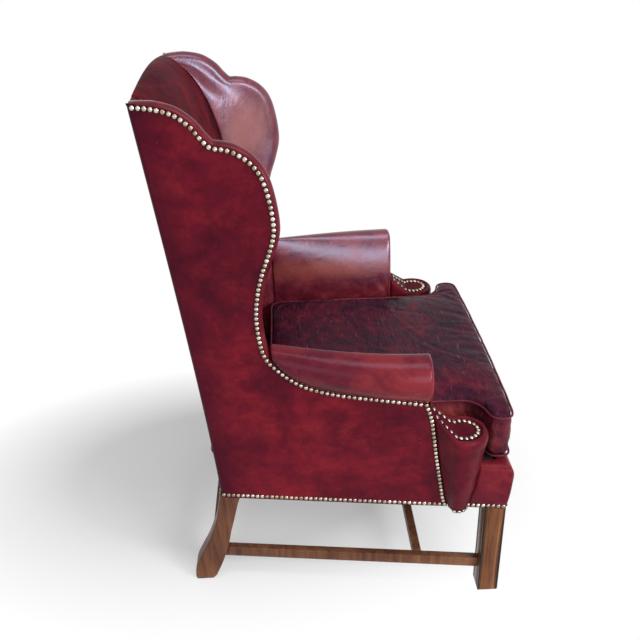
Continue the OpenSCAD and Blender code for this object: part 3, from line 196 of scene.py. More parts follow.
def link_piece(name, mesh, material):
    piece = bpy.data.objects.new(name, mesh)
    scene.collection.objects.link(piece)
    mesh.materials.clear()
    mesh.materials.append(material)
    for face in mesh.polygons:
        face.use_smooth = True
    return piece


def soften_edges(piece, width, angle=35, hardened=True):
    made = piece.modifiers.new("eased", "BEVEL")
    made.width = width
    made.segments = 2
    made.limit_method = "ANGLE"
    made.angle_limit = math.radians(angle)
    made.harden_normals = hardened


both_sides = (1, "left"), (-1, "right")
rail_low, rail_top = 0.251, 0.343
leg_wood = mahogany("front leg wood", (0.018, 0.008, 0.005), (0.140, 0.050, 0.020), (0.30, 0.115, 0.042),
                    3.0, True)
leg_half, leg_x, leg_y, darker_width = 0.0235, 0.3285, 0.3345, 0.013
bead_half = 0.0011
flat = [(0.0, 0.0)]
for inset, depth in ((0.0052, 0.0011), (0.0088, 0.0009)):
    flat += [(inset - bead_half, 0.0), (inset, depth), (inset + bead_half, 0.0)]
flat += [(leg_half, 0.0)] + [(2 * leg_half - a, d) for a, d in reversed(flat[1:])]
profile = []
for quarter in range(4):
    for along, depth in flat:
        x, y = along - leg_half, -leg_half + depth
        for _ in range(quarter):
            x, y = -y, x
        profile.append((x, y))
heights = (0.0, 0.93), (0.0022, 0.985), (0.006, 1.0), (rail_low, 1.0)
rings = [[(x * s, y * s, z) for x, y in profile] for z, s in heights]
low, high = Vector((-leg_half, -0.0207, 0.2508)), Vector((0.0160, leg_half, rail_top))
for side, word in both_sides:
    mesh = mesh_from("front_leg_" + word, *skin_rings(rings))
    stub = bmesh.new()
    stub.from_mesh(mesh)
    for v in bmesh.ops.create_cube(stub, size=1.0)["verts"]:
        for i in range(3):
            v.co[i] = low[i] + (high[i] - low[i]) * (v.co[i] + 0.5)
    stub.to_mesh(mesh)
    stub.free()
    tone = mesh.attributes.new("edge_tone", "FLOAT", "POINT")
    for i, v in enumerate(mesh.vertices):
        tone.data[i].value = min(1.0, (leg_half - min(abs(v.co.x), abs(v.co.y))) / darker_width)
        v.co.x = (v.co.x + leg_x) * side
        v.co.y -= leg_y
    if side < 0:
        mesh.flip_normals()
    leg = link_piece("front_leg_" + word + "_beaded", mesh, leg_wood)
    soften_edges(leg, 0.0012, 60, False)
    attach(leg, "chair")
    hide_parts("front_leg_" + word)


# Rear legs: each is one mahogany post, swept back below the seat, where its rear and front faces
# follow shares of the kick, and leaning back above it, where the back and the wing are nailed on.
def smooth_path(points, per):
    p = np.asarray(points, float)
    p = np.vstack([2 * p[0] - p[1], p, 2 * p[-1] - p[-2]])
    t = (np.arange(per) / per)[:, None]
    out = []
    for i in range(1, len(p) - 2):
        a, b, c, d = p[i - 1], p[i], p[i + 1], p[i + 2]
        out.append(0.5 * (2 * b + (c - a) * t + (2 * a - 5 * b + 4 * c - d) * t ** 2
                          + (3 * b - 3 * c + d - a) * t ** 3))
    return np.vstack(out + [p[-2:-1]])


def mix(a, b, share):
    return a + (b - a) * share


rear_face, back_rise, back_lean = 0.371, 0.879, 0.096


def back_y(z):
    rise = np.clip((np.asarray(z, float) - rail_low) / back_rise, 0, 1)
    return rear_face - back_lean * (1 - rise ** 1.2)


def outward(mesh):
    shape = bmesh.new()
    shape.from_mesh(mesh)
    bmesh.ops.remove_doubles(shape, verts=shape.verts, dist=1e-5)
    bmesh.ops.recalc_face_normals(shape, faces=shape.faces)
    shape.to_mesh(mesh)
    shape.free()
    return mesh


def rounded_box(x0, x1, y0, y1, r, steps=4):
    centres = ((x1 - r, y0 + r, -90), (x1 - r, y1 - r, 0), (x0 + r, y1 - r, 90), (x0 + r, y0 + r, 180))
    points = []
    for cx, cy, first in centres:
        for s in range(steps + 1):
            a = math.radians(first + 90 * s / steps)
            points.append((cx + r * math.cos(a), cy + r * math.sin(a)))
    return points


rear_wood = mahogany("rear leg wood", (0.040, 0.015, 0.010), (0.115, 0.042, 0.022), (0.20, 0.080, 0.038),
                     7.0)
kick = smooth_path([(0, 1, 1), (0.16, 0.94, 0.77), (0.30, 0.74, 0.60), (0.44, 0.51, 0.47),
                    (0.58, 0.33, 0.37), (0.72, 0.18, 0.25), (0.88, 0.08, 0.12), (1, 0, 0)], 4)
kick_out, leg_front, leg_rear, leg_in, leg_out = 0.078, 0.2305, 0.2775, 0.226, 0.270
rings = []
for share, behind, before in kick:
    inset = 0.0025 if share == 0 else 0.0
    front, rear = leg_front + kick_out * before + inset, leg_rear + kick_out * behind - inset
    box = rounded_box(leg_in + inset, leg_out - inset, front, rear, 0.0035)
    rings.append([(x, y, rail_low * share) for x, y in box])
post_thick, post_thin, post_in, post_out, hide_room = 0.0473, 0.0268, 0.2189, 0.2589, 0.0028
post = [(z, post_thick) for z in (0.2512, rail_top)]
post += [(z, post_thin) for z in (0.367, 0.55, 0.75, 0.95, 1.088)]
for z, thick in post:
    rear = back_y(z)
    box = rounded_box(post_in, post_out, rear - thick, rear - hide_room, 0.002)
    rings.append([(x, y, z) for x, y in box])
for side, word in both_sides:
    mesh = mesh_from("rear_leg_" + word, *skin_rings(rings), mirrored=side < 0)
    leg = link_piece("rear_leg_" + word + "_swept", outward(mesh), rear_wood)
    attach(leg, "chair")
    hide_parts("rear_leg_" + word)


# Stretchers: flat mahogany rails, tenoned into the legs, with the edges taken off by hand. The
# medial one is tenoned into the side ones.
def turned_grain(name, turn, dark, mid, light, seed):
    mat = mahogany(name, dark, mid, light, seed)
    for node in mat.node_tree.nodes:
        if node.bl_idname == "ShaderNodeMapping":
            node.inputs["Rotation"].default_value = turn
    return mat


rail_tones = (0.045, 0.018, 0.012), (0.13, 0.050, 0.026), (0.22, 0.095, 0.046)
long_wood = turned_grain("side stretcher wood", (math.radians(90), 0, 0), *rail_tones, 11.0)
cross_wood = turned_grain("cross stretcher wood", (0, math.radians(90), 0), *rail_tones, 15.0)
for node, wood in (("side_stretcher_left", long_wood), ("side_stretcher_right", long_wood),
                   ("medial_stretcher", cross_wood), ("rear_stretcher", cross_wood)):
    piece = link_piece(node + "_eased", outward(nodes[node].data.copy()), wood)
    soften_edges(piece, 0.0022)
    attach(piece, "chair")
    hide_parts(node)


# Seat rails, corner blocks, rails of the back, wing boards, arm rails, stumps and scroll blocks:
# rough-sawn beech, all of it under the leather.
def dress(names, material):
    for name in names:
        nodes[name].data.materials.clear()
        nodes[name].data.materials.append(material)


beech, shader = new_material("sawn beech", Specular_IOR_Level=0.25)
fibre = noise(beech, 1.0, 4, 0.65, 0.8, place(beech, (6, 90, 90)))
flecks = noise(beech, 1.0, 2, 0.6, 0.0, place(beech, (60, 700, 700)))
colour = ramp(beech, fibre, [(0.3, (0.36, 0.21, 0.10)), (0.5, (0.50, 0.32, 0.17)),
                             (0.7, (0.60, 0.42, 0.25))])
flecked = between(beech, flecks, 0.55, 0.7, 0, 0.6)
put(beech, shader["Base Color"], blend_colour(beech, flecked, colour, (0.25, 0.12, 0.055, 1)))
put(beech, shader["Roughness"], between(beech, fibre, 0.3, 0.7, 0.6, 0.8))
put(beech, shader["Normal"], bump(beech, flecks, 0.4, 0.0005))
paired = ("side_seat_rail_", "wing_board_", "arm_rail_", "arm_stump_", "scroll_block_")
dress([name + word for name in paired for _, word in both_sides], beech)
dress(("front_seat_rail", "rear_seat_rail", "corner_blocks", "crest_rail", "lower_back_rail"), beech)


# Seat springs, their clips and the corner blocks' screws: drawn steel, dulled, with a little rust.
steel, shader = new_material("drawn steel", Metallic=1.0)
rust = noise(steel, 160, 4, 0.7)
put(steel, shader["Base Color"], ramp(steel, rust, [(0.5, (0.40, 0.41, 0.43)), (0.68, (0.30, 0.19, 0.12))]))
put(steel, shader["Roughness"], between(steel, rust, 0.4, 0.7, 0.28, 0.6))
put(steel, shader["Normal"], bump(steel, noise(steel, 900, 2), 0.2, 0.0002))
dress(("seat_springs", "spring_clips", "corner_screws"), steel)


# Deck: black cloth over a felt pad, laid across the springs and tacked to the rails. It shows when
# the cushion is lifted, with the springs just telling through it.
def woven(name, dark, light, pitch, shine=0.2, sheen=0.2):
    mat, shader = new_material(name, Specular_IOR_Level=shine, Sheen_Weight=sheen, Sheen_Roughness=0.5)
    parts = add_node(mat, "SeparateXYZ", Vector=place(mat))
    waves = [calc(mat, "SINE", calc(mat, "MULTIPLY", parts.outputs[i], math.pi / pitch)) for i in (0, 1)]
    over = calc(mat, "MAXIMUM", *(calc(mat, "ABSOLUTE", wave) for wave in waves))
    mottle = noise(mat, 60, 3, 0.6)
    tone = weighed(mat, over, 0.6, mottle, 0.5)
    put(mat, shader["Base Color"], ramp(mat, tone, [(0.35, dark), (0.85, light)]))
    put(mat, shader["Roughness"], between(mat, mottle, 0.3, 0.7, 0.75, 0.92))
    put(mat, shader["Normal"], bump(mat, over, 0.5, pitch / 3))
    return mat


rear_widths, spreads, spread_rise = (0.540, 0.524), (0.13744, 0.28783), 0.66506


def half_width(z):
    return mix(*rear_widths, (np.asarray(z, float) - rail_low) / back_rise) / 2


def spread(z):
    return mix(*spreads, np.clip((np.asarray(z, float) - rail_low) / spread_rise, 0, 1))


def side_x(y, z):
    return half_width(z) + spread(z) * (back_y(z) - y)


def grid_faces(rows, columns):
    i, k = np.meshgrid(np.arange(rows - 1), np.arange(columns - 1), indexing="ij")
    a = (i * columns + k).ravel()
    return np.stack([a, a + 1, a + columns + 1, a + columns], 1)


deck_z, hem_z, hem_reach = 0.3670, 0.3515, 0.012
deck_front, deck_rear, seat_z = -0.3306, 0.2221, 0.3673
ear_rear, neck_front, neck_run = -0.190, -0.178, 0.012
ear_reach, neck_reach, rear_reach = 0.3435, 0.2961, side_x(0.152, rail_top) - 0.0214
spring_pitch, spring_rise = 0.0905, 0.0009


def deck_reach(y):
    if y < ear_rear:
        return ear_reach
    if y > neck_front:
        return min(neck_reach, mix(neck_reach, rear_reach, min(1, (y - neck_front) / 0.330)))
    return mix(ear_reach, neck_reach, (y - ear_rear) / neck_run)


deck_columns = 64
ys = np.concatenate([np.linspace(deck_front, ear_rear, 14), np.linspace(neck_front, deck_rear, 42)])
points = []
for y in ys:
    reach = deck_reach(y)
    for x in (mix(-reach, reach, k / (deck_columns - 1)) for k in range(deck_columns)):
        edge = min(reach - abs(x), y - deck_front, deck_rear - y)
        spring = spring_rise * (0.5 - 0.5 * math.cos(2 * math.pi * (x / spring_pitch + 0.5)))
        points.append((x, y, deck_z - spring - 0.006 * max(0, 1 - edge / hem_reach) ** 2))
mesh = mesh_from("deck_top", points, grid_faces(len(ys), deck_columns).tolist())
shape = bmesh.new()
shape.from_mesh(mesh)
rim_edges = [e for e in shape.edges if len(e.link_faces) == 1]
skirt = bmesh.ops.extrude_edge_only(shape, edges=rim_edges)["geom"]
for v in skirt:
    if isinstance(v, bmesh.types.BMVert):
        v.co.z = hem_z
hem = [e for e in skirt if isinstance(e, bmesh.types.BMEdge) and len(e.link_faces) == 1]
bmesh.ops.contextual_create(shape, geom=hem)
bmesh.ops.recalc_face_normals(shape, faces=shape.faces)
shape.to_mesh(mesh)
shape.free()
deck_cloth = woven("deck cloth", (0.007, 0.005, 0.006), (0.020, 0.014, 0.016), 0.0011, 0.04, 0.0)
deck = link_piece("deck_top", mesh, deck_cloth)
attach(deck, "chair")
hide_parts("deck_cloth", "deck_pad", "seat_burlap")


# Dust cover: black woven cloth, cut round the legs, stretched and tacked under the rails.
def thicken(piece, thick):
    made = piece.modifiers.new("thick", "SOLIDIFY")
    made.thickness = thick
    made.offset = -1


rail_rear, rail_rear_x, rail_front_x, rail_run, tack_room = 0.275, 0.270, 0.357, 0.633, 0.0056


def rail_x(y):
    return rail_rear_x + (rail_front_x - rail_rear_x) / rail_run * (rail_rear - y) - tack_room


half = [(0, -0.3552), (0.3047, -0.3552), (0.3047, -0.3107), (rail_x(-0.311), -0.3107),
        (rail_x(0.2277), 0.2274), (0.2255, 0.2274), (0.2255, 0.2722), (0, 0.2722)]
cover_outline = half + [(-x, y) for x, y in reversed(half) if x > 0]
cover_z, cover_sag, longest_edge = 0.2522, 0.006, 0.035
shape = bmesh.new()
shape.faces.new([shape.verts.new((x, y, cover_z)) for x, y in cover_outline])
bmesh.ops.triangulate(shape, faces=shape.faces)
for _ in range(5):
    long_edges = [e for e in shape.edges if e.calc_length() > longest_edge]
    bmesh.ops.subdivide_edges(shape, edges=long_edges, cuts=1)
    bmesh.ops.triangulate(shape, faces=shape.faces)
for v in shape.verts:
    middle = max(0.0, 1 - (v.co.x / 0.30) ** 2) * max(0.0, 1 - ((v.co.y + 0.04) / 0.29) ** 2)
    v.co.z -= cover_sag * middle
mesh = bpy.data.meshes.new("dust_cover_cloth")
bmesh.ops.recalc_face_normals(shape, faces=shape.faces)
shape.to_mesh(mesh)
shape.free()
if mesh.polygons[0].normal.z > 0:
    mesh.flip_normals()
cambric = woven("black cambric", (0.008, 0.008, 0.009), (0.035, 0.034, 0.036), 0.0009)
dust = link_piece("dust_cover_cloth", mesh, cambric)
thicken(dust, 0.0007)
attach(dust, "chair")
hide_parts("dust_cover")


# Outside of each side: one hide from the wing down to the seat rail, stretched over the frame. Its
# front and top edge lies just past the nail line, and it turns the rear corner to the outside back.
def leather(name, dark, mid, warm, seed, gloss, scuff, streak, crease, rough, shine=(1.0, 0.62, 0.70),
            reflection_patch=None, dark_edge=None):
    mat, shader = new_material(name, Specular_IOR_Level=gloss, Specular_Tint=(*shine, 1))
    spot = place(mat, streak, move=(seed, -seed, seed))
    clouds = noise(mat, 5.5, 4, 0.62, 0.6, spot)
    mottle = noise(mat, 26, 5, 0.68, 0.4, spot)
    tone = weighed(mat, clouds, 0.60, mottle, 0.40)
    colour = ramp(mat, tone, [(0.38, dark), (0.50, mid), (0.62, warm)])
    patches = noise(mat, 8.0, 5, 0.7, 0.3, place(mat, streak, move=(-seed, seed, 2 * seed)))
    glow = tuple(min(1.0, c * k) for c, k in zip(warm, (1.65, 2.6, 1.15)))
    colour = blend_colour(mat, between(mat, patches, 0.56, 0.80, 0.0, scuff), colour, (*glow, 1))
    scratch = noise(mat, 1.0, 2, 0.5, 0.0, place(mat, (9, 190, 150), (0.5, 0.35, 0.6), (seed, 0, 0)))
    where = between(mat, noise(mat, 6, 2, 0.5, 0.0, spot), 0.5, 0.62)
    lines = calc(mat, "MULTIPLY", between(mat, scratch, 0.72, 0.78, 0.0, 0.6), where)
    colour = blend_colour(mat, lines, colour, (0.24, 0.075, 0.075, 1))
    # Painted reflection: a warm, lighter patch round a given centre, standing in for a warm reflection on
    # the far wing and the far arm.
    if reflection_patch:
        centre, reach, reflected_tone = reflection_patch
        offset = place(mat)
        for operation, value in (("SUBTRACT", centre), ("DIVIDE", reach)):
            offset = add_node(mat, "VectorMath", {"operation": operation}, Vector=offset).outputs[0]
            offset.node.inputs[1].default_value = value
        away = add_node(mat, "VectorMath", {"operation": "LENGTH"}, Vector=offset).outputs["Value"]
        away = weighed(mat, away, 1.0, calc(mat, "SUBTRACT", clouds, 0.5), 1.6)
        colour = blend_colour(mat, between(mat, away, 0.25, 1.05, 0.85, 0.0), colour, (*reflected_tone, 1))
    # Darker where the attribute says: towards the side panel's rear corner and along its nail lines.
    if dark_edge:
        edge_darkening = add_node(mat, "Attribute", {"attribute_name": "edge_darkening"}).outputs["Fac"]
        edge_darkening = calc(mat, "MULTIPLY", edge_darkening, between(mat, mottle, 0.3, 0.7, 0.65, 1.0))
        colour = blend_colour(mat, edge_darkening, colour, (*dark_edge, 1))
    put(mat, shader["Base Color"], colour)
    put(mat, shader["Roughness"], between(mat, mottle, 0.35, 0.65, *rough))
    grain = add_node(mat, "TexVoronoi", Vector=place(mat), Scale=720.0).outputs["Distance"]
    normal = bump(mat, grain, 0.16, 0.0002)
    normal = bump(mat, noise(mat, 210, 3, 0.6), 0.10, 0.0006, normal)
    folds = noise(mat, 1.0, 4, 0.6, 0.5, place(mat, tuple(24 * s for s in streak), move=(seed, 0, seed)))
    normal = bump(mat, calc(mat, "ABSOLUTE", calc(mat, "SUBTRACT", folds, 0.5)), crease, 0.010, normal)
    put(mat, shader["Normal"], normal)
    return mat


def rightward(path):
    t = np.gradient(path, axis=0)
    return np.stack([t[:, 1], -t[:, 0]], 1) / np.linalg.norm(t, axis=1)[:, None]


def run_of(path):
    return np.concatenate([[0], np.cumsum(np.linalg.norm(np.diff(path, axis=0), axis=1))])


def evenly(path, count):
    run = run_of(path)
    at = np.linspace(0, run[-1], count)
    return np.stack([np.interp(at, run, path[:, i]) for i in range(path.shape[1])], 1)


def leather_piece(name, grid, core, material, side=1):
    """Leather through a grid of points, its face turned away from the point called core."""
    grid = np.array(grid, float)
    points = grid.reshape(-1, 3).copy()
    faces = grid_faces(*grid.shape[:2])
    a, b, c, d = (points[faces[:, i]] for i in range(4))
    normals = np.cross(c - a, d - b)
    if (normals * ((a + c) / 2 - np.array(core))).sum() < 0:
        faces = faces[:, ::-1]
    mesh = mesh_from(name, points, faces.tolist(), mirrored=side < 0)
    shape = bmesh.new()
    shape.from_mesh(mesh)
    bmesh.ops.remove_doubles(shape, verts=shape.verts, dist=2e-5)
    bmesh.ops.dissolve_degenerate(shape, edges=shape.edges, dist=1e-6)
    shape.to_mesh(mesh)
    shape.free()
    piece = link_piece(name, mesh, material)
    thicken(piece, 0.0022)
    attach(piece, "chair")
    return piece


line_shares = [(0.0, 1.0), (0.050, 0.999), (0.098, 0.995), (0.156, 0.981), (0.206, 0.949), (0.237, 0.915),
               (0.268, 0.888), (0.305, 0.884), (0.346, 0.875), (0.394, 0.848), (0.430, 0.804),
               (0.452, 0.734), (0.463, 0.638), (0.446, 0.565), (0.417, 0.489), (0.393, 0.406),
               (0.381, 0.311), (0.387, 0.218), (0.406, 0.149), (0.456, 0.098), (0.526, 0.052),
               (0.600, 0.029), (0.696, 0.015), (0.850, 0.007), (1.0, 0.0)]
line_steps = 8
nail_line = smooth_path([(rear_face - 0.5393 * a, mix(0.539, 1.130, b)) for a, b in line_shares], line_steps)
front_shares = [(1.0, 0.0), (0.865, 0.22), (0.677, 0.38), (0.483, 0.53), (0.281, 0.71), (0.076, 0.89),
                (0.0, 1.0)]
front_line = smooth_path([(-0.1683 - 0.0549 * b, mix(0.258, 0.539, a)) for a, b in front_shares], 8)
panel_lap = 0.0053


def front_line_y(z):
    return np.interp(z, front_line[::-1, 1], front_line[::-1, 0])


rim = nail_line + panel_lap * rightward(nail_line)
rim[:, 1] = np.minimum.accumulate(rim[:, 1] - np.arange(len(rim)) * 2e-6)
side_edge = np.vstack([rim, front_line[1:] - (panel_lap, 0), [(front_line[-1, 0] - panel_lap, rail_low)]])
side_edge = evenly(side_edge[side_edge[:, 1].argsort()[::-1]], 190)
columns = 34
corner_r = 0.013
grid = []
for y_front, z in side_edge:
    rear = back_y(z)
    y_front = min(y_front, rear - 0.001)
    r = min(corner_r, (rear - y_front) * 0.6)
    ys = mix(y_front, rear - r, (np.arange(columns) / (columns - 1)) ** 0.9)
    row = [(side_x(y, z), y, z) for y in ys]
    xc, yc = row[-1][0] - r, rear - r
    row += [(xc + r * math.cos(t), yc + r * math.sin(t), z) for t in np.linspace(0.16, math.pi / 2, 9)]
    grid.append(row)
grid = np.array(grid)
both_lines = np.vstack([nail_line, front_line])
gap = np.full(grid.shape[:2], 9.0)
for y, z in both_lines[::2]:
    gap = np.minimum(gap, np.hypot(grid[..., 1] - y, grid[..., 2] - z))
grid[..., 0] -= 0.0011 * np.exp(-(gap / 0.007) ** 2) - 0.0012 * (1 - np.exp(-(gap / 0.07) ** 2))
side_hide = leather("side leather", (0.055, 0.0040, 0.011), (0.103, 0.0058, 0.0145),
                    (0.165, 0.010, 0.018), 4.0, 0.07, 0.5, (1, 1, 1.2), 0.10, (0.36, 0.5),
                    dark_edge=(0.030, 0.0030, 0.011))
for side, word in both_sides:
    panel = leather_piece("side_panel_" + word + "_hide", grid, (0, 0.2, 0.6), side_hide, side)
    # Darker towards the rear corner of the panel, and with dirt along the nail lines.
    spots = np.array([v.co[1:] for v in panel.data.vertices])
    rear_gap = back_y(spots[:, 1]) - spots[:, 0]
    line_gap = np.linalg.norm(spots[:, None] - both_lines[None, ::4], axis=2).min(1)
    edge_darkening = np.maximum(0.75 * np.exp(-(rear_gap / 0.045) ** 2), 0.35 * np.exp(-(line_gap / 0.016) ** 2))
    panel.data.attributes.new("edge_darkening", "FLOAT", "POINT").data.foreach_set("value", edge_darkening.astype(float))
    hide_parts("side_panel_" + word)


# Outside back: one hide from the rails to the crest, blind-tacked along the top and turned under
# and sewn down both rear corners.
crest_low, crest_rise = 1.1395, 0.014
rows, columns = 60, 41
grid = np.zeros((rows, columns, 3))
for i in range(rows):
    for k in range(columns):
        c = 2 * k / (columns - 1) - 1
        top_z = crest_low + crest_rise * math.cos(math.pi / 2 * min(1, abs(c)))
        z = mix(rail_low, top_z - 0.004, i / (rows - 1))
        half = half_width(min(z, 1.13)) - 0.0125
        edge = min(1.0, (1 - abs(c)) * half / 0.008)
        y = back_y(z) - 0.0016 * (1 - math.sqrt(max(0, 1 - (1 - edge) ** 2)))
        grid[i, k] = (c * half, y, z)
grid[-1, :, 1] -= 0.003
back_hide = leather("outside back leather", (0.055, 0.0045, 0.010), (0.098, 0.0068, 0.015),
                    (0.155, 0.012, 0.019), 9.0, 0.20, 0.35, (1, 1, 1.2), 0.10, (0.32, 0.48))
outside = leather_piece("outside_back_hide", grid, (0, 0, 0.6), back_hide)
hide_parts("outside_back")


# Inside wings: leather over padding and a curved board. A roll of 34 mm runs round the front edge,
# and the face falls back from there to the seam with the inside back.
back_thick, roll_low, roll_rise, wing_thick = 0.097, 0.900, 0.2395, 0.050


def seam_y(z):
    share = np.clip((np.asarray(z, float) - roll_low) / roll_rise, 0, 1)
    return back_y(z) - np.maximum(hide_room, back_thick * np.sqrt(np.maximum(0, 1 - share ** 2)))


def seam_x(z):
    return side_x(seam_y(z), z) - wing_thick


foot = 18
wing_path = nail_line[:foot * line_steps + 1].copy()
wing_way = rightward(nail_line)[:foot * line_steps + 1]
place_on_line = np.arange(len(wing_path)) / line_steps
seam_z = np.where(place_on_line < 12, mix(crest_low, 0.91606, (np.minimum(place_on_line, 12) / 12) ** 1.3),
                  wing_path[:, 1])
wing_path[0, 0] -= hide_room
low_z = np.linspace(wing_path[-1, 1], seat_z, 14)[1:]
rows = list(zip(wing_path, wing_way, seam_z))
rows += [(np.array([wing_path[-1, 0], z]), mix(wing_way[-1], np.array([-1.0, 0.0]), min(1, (k + 1) / 3)), z)
         for k, z in enumerate(low_z)]
wing_roll = 0.017
turns = np.radians(np.linspace(57, -90, 15))
face_shares = np.linspace(0, 1, 24)[1:]
grid = []
for p, w, s in rows:
    w = w / np.linalg.norm(w)
    row = []
    low_end = mix(0.55, 1.0, float(np.clip((rear_face - p[0]) / 0.045, 0, 1)) ** 0.5)
    for a in turns:
        out, deep = (-0.005 + wing_roll * math.cos(a)) * low_end, wing_roll - wing_roll * math.sin(a)
        y, z = p[0] + out * w[0], p[1] + out * w[1]
        row.append((side_x(y, z) - deep, y, z))
    start = np.array(row[-1])
    end = np.array([seam_x(s), seam_y(s), s])
    reach = np.linalg.norm(end - start)
    pull = start + np.array([0.0, -w[0], -w[1]]) * reach * 0.42 - np.array([reach * 0.035, 0, 0])
    swell = mix(start, end, 0.72) - np.array([reach * 0.085, 0, 0])
    for t in face_shares:
        row.append(tuple((1 - t) ** 3 * start + 3 * (1 - t) ** 2 * t * pull
                         + 3 * (1 - t) * t * t * swell + t ** 3 * end))
    grid.append(row)
grid = np.array(grid)
last = grid.shape[1] - 1
fair = np.clip((np.arange(last + 1) - 15) / 5, 0, 1) * np.clip((last - np.arange(last + 1)) / 3, 0, 1)
for _ in range(160):
    grid[1:-1] += 0.5 * fair[None, :, None] * (0.5 * (grid[:-2] + grid[2:]) - grid[1:-1])
# The far (left) wing: a lighter copy of the wing leather, with a painted reflection on its inside face.
painted_reflection_wing_hide = leather("left wing leather", (0.052, 0.0040, 0.010), (0.110, 0.0090, 0.016),
                     (0.19, 0.026, 0.026), 2.0, 0.75, 0.30, (1, 1.4, 0.8), 0.10, (0.25, 0.35),
                     (0.68, 0.74, 1.0),
                     reflection_patch=((0.27, 0.190, 0.955), (0.5, 0.070, 0.105), (0.26, 0.078, 0.062)))
wing_hide = leather("right wing leather", (0.055, 0.0040, 0.010), (0.100, 0.0075, 0.015),
                    (0.17, 0.018, 0.020), 2.0, 0.22, 0.30, (1, 1.4, 0.8), 0.10, (0.24, 0.36))
for side, word, hide in ((1, "left", painted_reflection_wing_hide), (-1, "right", wing_hide)):
    wing = leather_piece("inside_wing_" + word + "_hide", grid, (0.32, 0.25, 0.85), hide, side)
    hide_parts("inside_wing_" + word, "wing_padding_" + word)


# Inside back: leather over curled hair and wadding, tight from the seat up, rolled over the crest
# rail to the outside back, and pulled into slight level folds.
def crest_z(x):
    return crest_low + crest_rise * np.cos(np.pi / 2 * np.clip(np.abs(x) / 0.262, 0, 1))


flat_z = np.linspace(seat_z, roll_low, 46)[:-1]
roll_turns = np.radians(np.linspace(0, 90, 30))
columns = 61
grid = []
for level in range(len(flat_z) + len(roll_turns)):
    rolled = level - len(flat_z)
    row = []
    for k in range(columns):
        c = 2 * k / (columns - 1) - 1
        middle_thick = back_thick + 0.008 * math.cos(math.pi / 2 * c)
        if rolled < 0:
            z, thick = flat_z[level], middle_thick
        else:
            a = roll_turns[rolled]
            z = mix(roll_low, crest_z(c * post_out), math.sin(a))
            thick = middle_thick * math.cos(a)
        edge = math.exp(-((1 - abs(c)) / 0.03) ** 2)
        tucked = min(1, thick / 0.03)
        fold = 0.0007 * math.sin(z * 95 + 2.2 * math.sin(5 * c + z * 9)) * (1 - edge) * tucked
        y = back_y(min(z, crest_low)) - max(thick + fold, hide_room) + 0.0025 * edge * tucked
        row.append((c * (seam_x(min(z, 1.1394)) + 0.0004), y, z))
    grid.append(row)
inside_hide = leather("inside back leather", (0.022, 0.0020, 0.007), (0.058, 0.0038, 0.010),
                      (0.115, 0.009, 0.013), 6.0, 0.012, 0.30, (0.75, 1, 1.5), 0.35, (0.42, 0.58))
inside = leather_piece("inside_back_hide", grid, (0, 0.5, 0.7), inside_hide)
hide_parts("inside_back", "back_padding", "back_burlap", "back_webbing")


# Arms: leather over a padded rail. The roll grows from the wing to the front, starts above the nail
# line and falls down the inner face to the deck, with pleats where it's gathered at the front.
arm_rear, arm_run = 0.1397, 0.3177
arm_radii, arm_middles, inner_faces = (0.035, 0.050), (0.281, 0.338), (0.267, 0.281)
arm_level, arm_fall = 0.592, 0.024


def share_along(y):
    return np.clip((arm_rear - y) / arm_run, 0, 1)


def eased(s):
    s = np.clip(s, 0, 1)
    return s * s * (3 - 2 * s)


arm_start = (nail_line + (panel_lap - 0.0004) * rightward(nail_line))[(foot - 1) * line_steps:]


def arm_section(y, shrink):
    grown = math.sin(math.pi / 2 * share_along(y))
    r, x_mid, z_mid = mix(*arm_radii, grown), mix(*arm_middles, grown), arm_level + arm_fall * (1 - grown)
    z0 = float(np.interp(y, arm_start[::-1, 0], arm_start[::-1, 1]))
    start = np.array([side_x(y, z0) - 0.001 - x_mid, z0 - z_mid])
    a0 = math.atan2(start[1], start[0])
    edge = mix(*inner_faces, share_along(y)) + shrink
    points = []
    for a in np.linspace(a0, math.pi, 44):
        rr = mix(np.linalg.norm(start), r, eased((a - a0) / math.radians(50))) - shrink
        x = x_mid + rr * math.cos(a)
        x = 0.5 * (edge + x + math.sqrt((x - edge) ** 2 + 0.005 ** 2)) - 0.0006
        points.append((x, y, z_mid + rr * math.sin(a)))
    last = points[-1]
    for t in np.linspace(0, 1, 22)[1:]:
        x = mix(last[0], edge, eased(min(1, t * 2.6)))
        points.append((x, y, mix(last[2], seat_z, t)))
    slope = []
    for x, y, z in points:
        down = min(1.0, max(0.0, (z_mid + r - z) / (0.135 + 0.02 * grown)))
        reach = edge + (x_mid - edge) * (1 - math.sqrt(1 - (1 - down) ** 2))
        slope.append((max(x, reach) if x < x_mid else x, y, z))
    return slope


arm_front, front_r = -0.178, 0.009
pleat_depth, pleats, gather_y, gather_z = 0.0055, 13, -0.188, 0.452
grid = [arm_section(y, 0) for y in np.linspace(0.1425, arm_front + front_r, 74)]
grid += [arm_section(arm_front + front_r * (1 - math.sin(t)), front_r * (1 - math.cos(t)))
         for t in np.linspace(0, math.pi / 2, 8)[1:]]
grid = np.array(grid)
off_y, off_z = grid[..., 1] - gather_y, grid[..., 2] - gather_z
away = np.hypot(off_y, off_z)
near = np.exp(-(away / 0.05) ** 2) * eased((grid[..., 1] - arm_front) / 0.006) * eased(away / 0.02)
fan = np.cos(pleats * np.arctan2(off_z, off_y))
grid[..., 0] += pleat_depth * near * eased((0.330 - grid[..., 0]) / 0.03) * fan
